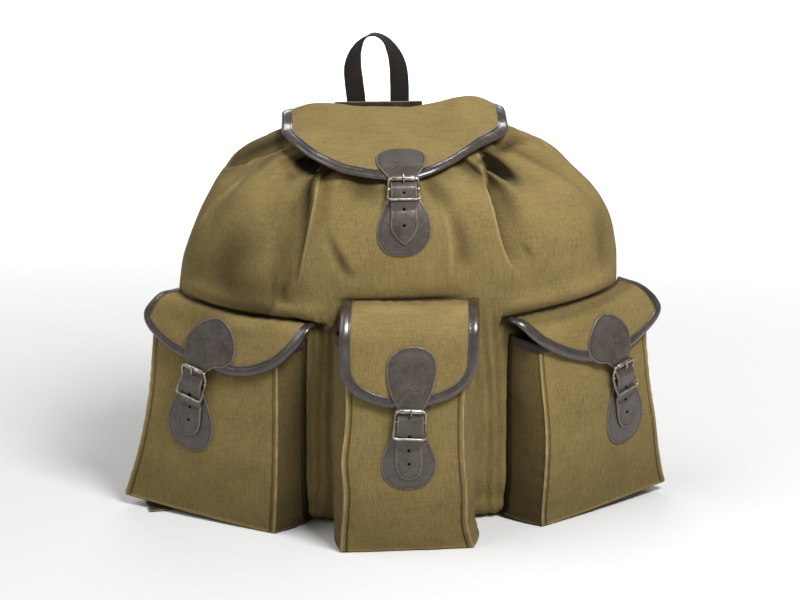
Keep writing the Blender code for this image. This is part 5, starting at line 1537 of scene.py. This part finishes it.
# %% Buckles
# A wire frame, bent so that its two end bars stand off the leather, a straight middle bar, a
# roller on the top bar and a prong that lies on the roller.
BucklePoint = namedtuple("BucklePoint", "across s out")
FRAME = table(
    BucklePoint, (0.0000, 0.0000, 0.0075), (0.0060, 0.0000, 0.0075), (0.0120, 0.0000, 0.0075),
    (0.0150, 0.0010, 0.0073), (0.0160, 0.0035, 0.0062), (0.0161, 0.0070, 0.0040),
    (0.0161, 0.0130, 0.0018), (0.0167, 0.0210, 0.0030), (0.0173, 0.0275, 0.0042),
    (0.0163, 0.0302, 0.0045), (0.0135, 0.0310, 0.0045), (0.0070, 0.0310, 0.0045),
    (0.0000, 0.0310, 0.0045),
)
PRONG = (
    (0.0150, -0.0005), (0.0130, -0.0009), (0.0111, -0.0001), (0.0102, 0.0018), (0.0092, 0.0036),
    (0.0070, 0.0068), (0.0034, 0.0107), (0.0000, 0.0118), (-0.0034, 0.0118),
)
# Section of the roller from end to end: (along the bar, radius)
ROLLER = (
    (-0.0122, 0.0019), (-0.0123, 0.0024), (-0.0119, 0.0027), (-0.0060, 0.0027), (0.0, 0.0027),
    (0.0060, 0.0027), (0.0119, 0.0027), (0.0123, 0.0024), (0.0122, 0.0019), (0.0060, 0.0018),
    (-0.0060, 0.0018),
)


def closed_curve(points, count):
    """Smooth closed curve: the points are repeated at both ends and the middle turn is kept."""
    points = np.asarray(points)
    more = np.concatenate([points[-4:], points, points[:5]])
    length = path_lengths(more)
    return smooth_curve(length, more, np.linspace(length[4], length[len(points) + 4], count + 1)[:-1])


def add_buckle(closure):
    name = closure.name
    half = np.array(FRAME)
    loop = np.concatenate([half, half[-2:0:-1] * (-1, 1, 1)])
    path = closed_curve(closure.stiff(loop[:, 1], loop[:, 0], loop[:, 2]), 150)
    add_tube(
        "buckle_wire_" + name, path, WIRE_RADIUS, closure.out, steel,
        ["buckle_frame_" + name], closed=True,
    )
    ends = np.linspace(-FRAME_REACH, FRAME_REACH, 12)
    bar = closure.stiff(np.full(12, MIDDLE_BAR[0]), ends, np.full(12, MIDDLE_BAR[1]))
    add_tube("buckle_bar_" + name, bar, MIDDLE_BAR_RADIUS, closure.out, steel)
    along, radius = np.array(ROLLER).T
    turn = turns(28)
    circle = closure.down * np.cos(turn)[:, None] + closure.out * np.sin(turn)[:, None]
    middle = closure.stiff(0.0, 0.0, FRAME[0].out)
    points = middle + along[:, None, None] * closure.across + radius[:, None, None] * circle[None]
    points = np.concatenate([points, points[:1]])
    add_piece(
        "roller_" + name, points, quads(*points.shape[:2], around=True), steel,
        ["buckle_roller_" + name],
    )
    prong = np.array(PRONG)
    length = path_lengths(prong)
    s, out = smooth_curve(length, prong, np.linspace(0, length[-1], 50)).T
    add_tube(
        "prong_" + name, closure.stiff(s, 0 * s, out), 0.0010, closure.across, steel,
        ["buckle_prong_" + name],
    )


# Length of the upper and the lower patches against their tables
UPPER_SCALE = {"lid": 0.86, "pocket": 1.0}
LOWER_SCALE = {"lid": 1.08, "centre": 1.04, "left": 1.14, "right": 1.14}
for name, closure in closures.items():
    lid = POINTED_TIP, LID_HOLES, UPPER_SCALE["lid"]
    add_strap(closure, *(lid if name == "lid" else (ROUND_TIP, HOLE_PLACES, UPPER_SCALE["pocket"])))
    add_lower_patch(closure, LOWER_SCALE[name])
    add_buckle(closure)

# %% [markdown]
# ## Loop, yoke and back straps
# The carry loop is a length of stiff webbing, turned on edge as it bends over. It comes out from
# under a leather yoke, which the shoulder straps share. The straps hang behind the bag, each with a
# ring and a tail that is sewn to the foot of the back. The photo shows only the loop, the yoke's top
# edge and one strap end on the ground, so the rest is plain.

# %% Strips along paths
BACK_CENTRE = -0.016
LOOP = (
    (0.0250, 0.1082, 0.4040, 0), (0.0250, 0.1082, 0.4300, 0), (0.0252, 0.1050, 0.4540, 0),
    (0.0262, 0.1045, 0.4760, 5), (0.0258, 0.1045, 0.4955, 25), (0.0200, 0.1045, 0.5140, 55),
    (0.0108, 0.1045, 0.5262, 78), (0.0000, 0.1045, 0.5305, 90),
)
LOOP_LEAN, LOOP_HALF, LOOP_THICK = 0.005, 0.0100, 0.0020
Panel = namedtuple("Panel", "half top low rows side stitch_top stitch_low count kind")
YOKE_PANEL = Panel(0.050, 0.453, 0.352, 60, 0.95, 0.449, 0.356, 500, "binding")
ANCHOR_PANEL, ANCHOR_BACK = Panel(0.022, 0.066, 0.018, 40, 0.88, 0.063, 0.021, 300, "patch"), 0.1044
PANEL_LEATHER, SHOULDER_LEATHER, TAIL_LEATHER = 0.0020, 0.0036, 0.0022
YOKE = ((0.352, 0.1047), (0.392, 0.1066), (0.424, 0.1066), (0.440, 0.1042), (0.453, 0.1007))
SHOULDER_STRAP = (
    (0.034, 0.1093, 0.394, 0.018), (0.036, 0.1093, 0.362, 0.018), (0.048, 0.1180, 0.330, 0.019),
    (0.074, 0.1360, 0.285, 0.021), (0.108, 0.1460, 0.230, 0.021), (0.142, 0.1430, 0.175, 0.020),
    (0.170, 0.1320, 0.130, 0.014),
)
TAIL = ((0.192, 0.1170, 0.085, 0.0125), (0.203, 0.1080, 0.056, 0.0125), (0.208, 0.1058, 0.034, 0.0125))
STRAP_END = (
    (-0.276, -0.014, 0.0012, 0.0110), (-0.281, 0.020, 0.0012, 0.0115), (-0.278, 0.050, 0.0013, 0.0115),
    (-0.266, 0.074, 0.0016, 0.0115), (-0.2392, 0.0848, 0.0020, 0.0115),
)
RING_RADIUS, RING_LENGTH, RING_HALF = 0.0018, 0.019, 0.017
RING_CORNER, RING_BOW, TURNED_BACK, RING_CLEAR = 0.0034, 0.002, 0.010, 0.0004


def add_strip(name, path, ways, halves, thickness, look, replaces, rows=120, stitches=None):
    """A strip with its width along the given ways, its middle on a smooth curve through the path."""
    length = path_lengths(np.asarray(path, float))
    at = np.linspace(0, length[-1], rows)
    path, ways, halves = [smooth_curve(length, np.asarray(v, float), at) for v in (path, ways, halves)]
    aside = halves[:, None] * ACROSS[None]
    points = path[:, None] + aside[..., None] * unit(ways)[:, None]
    points = points + grid_normals(points) * thickness / 2
    metres = joined(aside, at[:, None])
    inset = halves[:, None] - np.abs(aside)
    add_slab(name, points, thickness, look, replaces, metres, {"edge": hump(inset, 0.0005)})
    if stitches:
        face = Surface(at, ACROSS, points)
        for k, side in enumerate((-1, 1)):
            along = np.linspace(at[0] + stitches, at[-1] - stitches, 300)
            share = side * (1 - 0.0025 / np.interp(along, at, halves))
            stitch_on(f"{name}_stitches_{k}", face, share, along, "patch")


def back_ways(path):
    """Down the strip and across it, square to the way out of the back."""
    tangent = direction(np.asarray(path, float))
    return tangent, unit(np.cross(tangent, np.array([0, 1.0, 0])))


# %% Carry loop and yoke
def add_loop():
    half = [(BACK_CENTRE - x, y, z) for x, y, z, _ in LOOP]
    path = np.array(half + [(2 * BACK_CENTRE - x, y, z) for x, y, z in half[-2::-1]])
    path[:, 0] -= LOOP_LEAN * smooth_step(0.44, 0.53, path[:, 2])
    lean = [turn for *_, turn in LOOP]
    lean = np.radians(lean + [180 - turn for turn in lean[-2::-1]])
    tangent = direction(path)
    rest = unit(np.array([0, 1.0, 0]) - tangent * tangent[:, 1:2])
    level = unit(np.cross(rest, tangent))
    ways = level * np.cos(lean)[:, None] + rest * np.sin(lean)[:, None]
    add_strip(
        "loop_webbing", path, ways, np.full(len(path), LOOP_HALF), LOOP_THICK, webbing, ["carry_loop"],
        rows=260,
    )


def add_panel(name, ending, panel, centre, back, replaces):
    """Flat leather on the bag's back, its middle at the y that back gives for a height, sewn round."""
    heights = np.linspace(panel.top, panel.low, panel.rows)
    across = centre - panel.half * ACROSS
    points = joined(across[None], back(heights)[:, None], heights[:, None])
    metres = joined(across[None], heights[:, None])
    marks = {"edge": 0 * points[..., 0]}
    add_slab(name + "_leather" + ending, points, PANEL_LEATHER, leather, replaces, metres, marks)
    side, top, low = panel.side, -panel.stitch_top, -panel.stitch_low
    border = np.array([(-side, top), (-side, low), (side, low), (side, top), (-side, top)])
    line = even_path(border * (panel.half, 1), panel.count) / (panel.half, 1)
    face = Surface(-heights, ACROSS, points)
    stitch_on(name + "_stitches" + ending, face, line[:, 0], line[:, 1], panel.kind)


def yoke_back(heights):
    return smooth_curve([z for z, _ in YOKE], [y for _, y in YOKE], heights) + 0.0010


add_loop()
add_panel("yoke", "", YOKE_PANEL, BACK_CENTRE, yoke_back, ["back_yoke"])


# %% Shoulder straps, rings, tails and anchors
def back_path(points, sign):
    x, y, z, _ = np.array(points).T
    return np.stack([sign * x + BACK_CENTRE * smooth_step(0.05, 0.39, z), y, z], -1)


def add_shoulder_strap(name, sign):
    path = back_path(SHOULDER_STRAP, sign)
    tangent, way = back_ways(path)
    down, across = tangent[-1], way[-1]
    out = np.cross(across, down)
    out = out if out[1] > 0 else -out
    radius = RING_RADIUS + RING_CLEAR + SHOULDER_LEATHER / 2
    top = path[-1] + down * TURNED_BACK - out * radius
    angles = np.radians((90, 45, 0, -45, -90))[:, None]
    turned = top + radius * (np.cos(angles) * down + np.sin(angles) * out)
    points = np.concatenate([path, turned, turned[-1:] - down * TURNED_BACK])
    ways = np.concatenate([way, np.repeat(across[None], 6, 0)])
    halves = [p[3] for p in SHOULDER_STRAP] + [TAIL[0][3]] * 6
    add_strip(
        "shoulder_leather_" + name, points, ways, halves, SHOULDER_LEATHER, leather,
        ["shoulder_strap_" + name], rows=220, stitches=0.030,
    )
    low = top + down * RING_LENGTH
    side, bow, inset = across * RING_HALF, down * RING_BOW, across * (RING_HALF - RING_CORNER)
    half = [top, top - inset, top - side + bow, low - side - bow, low - inset]
    loop = np.array(half + [top + low - p for p in half])
    add_tube(
        "ring_" + name, closed_curve(loop, 120), RING_RADIUS, out, steel,
        ["strap_ring_" + name], closed=True,
    )
    radius = RING_RADIUS + RING_CLEAR + TAIL_LEATHER / 2
    angles = np.radians((-90, -45, 0, 45, 90))[:, None]
    turned = low + radius * (-np.cos(angles) * down + np.sin(angles) * out)
    path = back_path(TAIL, sign)
    points = np.concatenate([turned[:1] + down * TURNED_BACK, turned, path])
    ways = np.concatenate([np.repeat(across[None], 6, 0), back_ways(path)[1]])
    add_strip(
        "tail_leather_" + name, points, ways, [TAIL[0][3]] * 6 + [p[3] for p in TAIL], TAIL_LEATHER,
        leather, ["strap_tail_" + name], rows=110,
    )
    add_panel(
        "anchor", "_" + name, ANCHOR_PANEL, path[-1][0], lambda z: ANCHOR_BACK + 0 * z,
        ["strap_anchor_" + name],
    )


add_shoulder_strap("left", -1)
add_shoulder_strap("right", 1)

# %% The strap end on the ground
path = np.array(STRAP_END)[:, :3]
ways = unit(np.cross(direction(path), np.array([0, 0, 1.0])))
add_strip(
    "strap_end_leather", path, ways, [p[3] for p in STRAP_END], TAIL_LEATHER, leather,
    ["strap_end_left"],
)

# %% [markdown]
# ## Floor, light and camera
# The photo was taken on white with a broad soft light high up in front, a little to the right. A
# second one comes from high up on the left, and a third brightens the floor far behind. The lower
# part of the bag lies further from the key light, so it is darker.
# The camera stands a little above and very slightly left of the middle.

# %% Floor
FLOOR_HALF, FLOOR_HEIGHT = 6.0, -0.0004
# The floor is darker out to the first distance from the bag's middle and palest beyond the second
FLOOR_FADE, FLOOR_TONES = (0.3, 2.2), (0.60, 0.95)


def add_floor():
    paint = Paint("pale_floor", Roughness=0.9)
    far = paint.node("VectorMath", {"operation": "LENGTH"}, paint.place, output=1).between(*FLOOR_FADE)
    paint.finish(Base_Color=paint.blend(far, *[(tone, tone, tone) for tone in FLOOR_TONES]))
    x, y = FLOOR_HALF * np.array([(-1, 1, 1, -1), (-1, -1, 1, 1)])
    mesh = bpy.data.meshes.new("floor")
    mesh.from_pydata(joined(x, y, FLOOR_HEIGHT).tolist(), [], [(0, 1, 2, 3)])
    mesh.materials.append(paint.material)
    floor = bpy.data.objects.new("floor", mesh)
    bpy.context.scene.collection.objects.link(floor)


add_floor()

# %% Light and camera
def point_at(obj, target):
    obj.rotation_euler = (Vector(target) - obj.location).to_track_quat("-Z", "Y").to_euler()


Lamp = namedtuple("Lamp", "name kind place target size power")
LAMPS = table(
    Lamp,
    ("key", "AREA", (0.60, -1.00, 1.62), (0, 0, 0.25), 0.6, 45.0),
    ("over", "SUN", (-1.6, -0.3, 2.1), (0, 0, 0.25), math.radians(45), 1.25),
    ("backdrop", "AREA", (0, 4.2, 2.4), (0, 4.6, 0), 3.0, 150.0),
)

LENS, SENSOR, WORLD_STRENGTH = 88.4, 36.0, 0.32


def add_studio():
    for row in LAMPS:
        lamp = bpy.data.lights.new(row.name, row.kind)
        lamp.energy = row.power
        if row.kind == "AREA":
            lamp.size = row.size
        else:
            lamp.angle = row.size
        obj = bpy.data.objects.new(row.name, lamp)
        obj.location = row.place
        point_at(obj, row.target)
        bpy.context.scene.collection.objects.link(obj)
    world = bpy.data.worlds.new("studio")
    world.use_nodes = True
    world.node_tree.nodes["Background"].inputs["Color"].default_value = (1.0, 1.0, 1.0, 1.0)
    world.node_tree.nodes["Background"].inputs["Strength"].default_value = WORLD_STRENGTH
    bpy.context.scene.world = world
    camera = bpy.data.objects.new("camera", bpy.data.cameras.new("camera"))
    camera.data.lens, camera.data.sensor_width = LENS, SENSOR
    camera.location = AIM + TO_CAMERA * DISTANCE
    point_at(camera, AIM)
    bpy.context.scene.collection.objects.link(camera)
    bpy.context.scene.camera = camera
    bpy.context.scene.view_settings.view_transform = "Standard"


add_studio()
print("studio is ready")
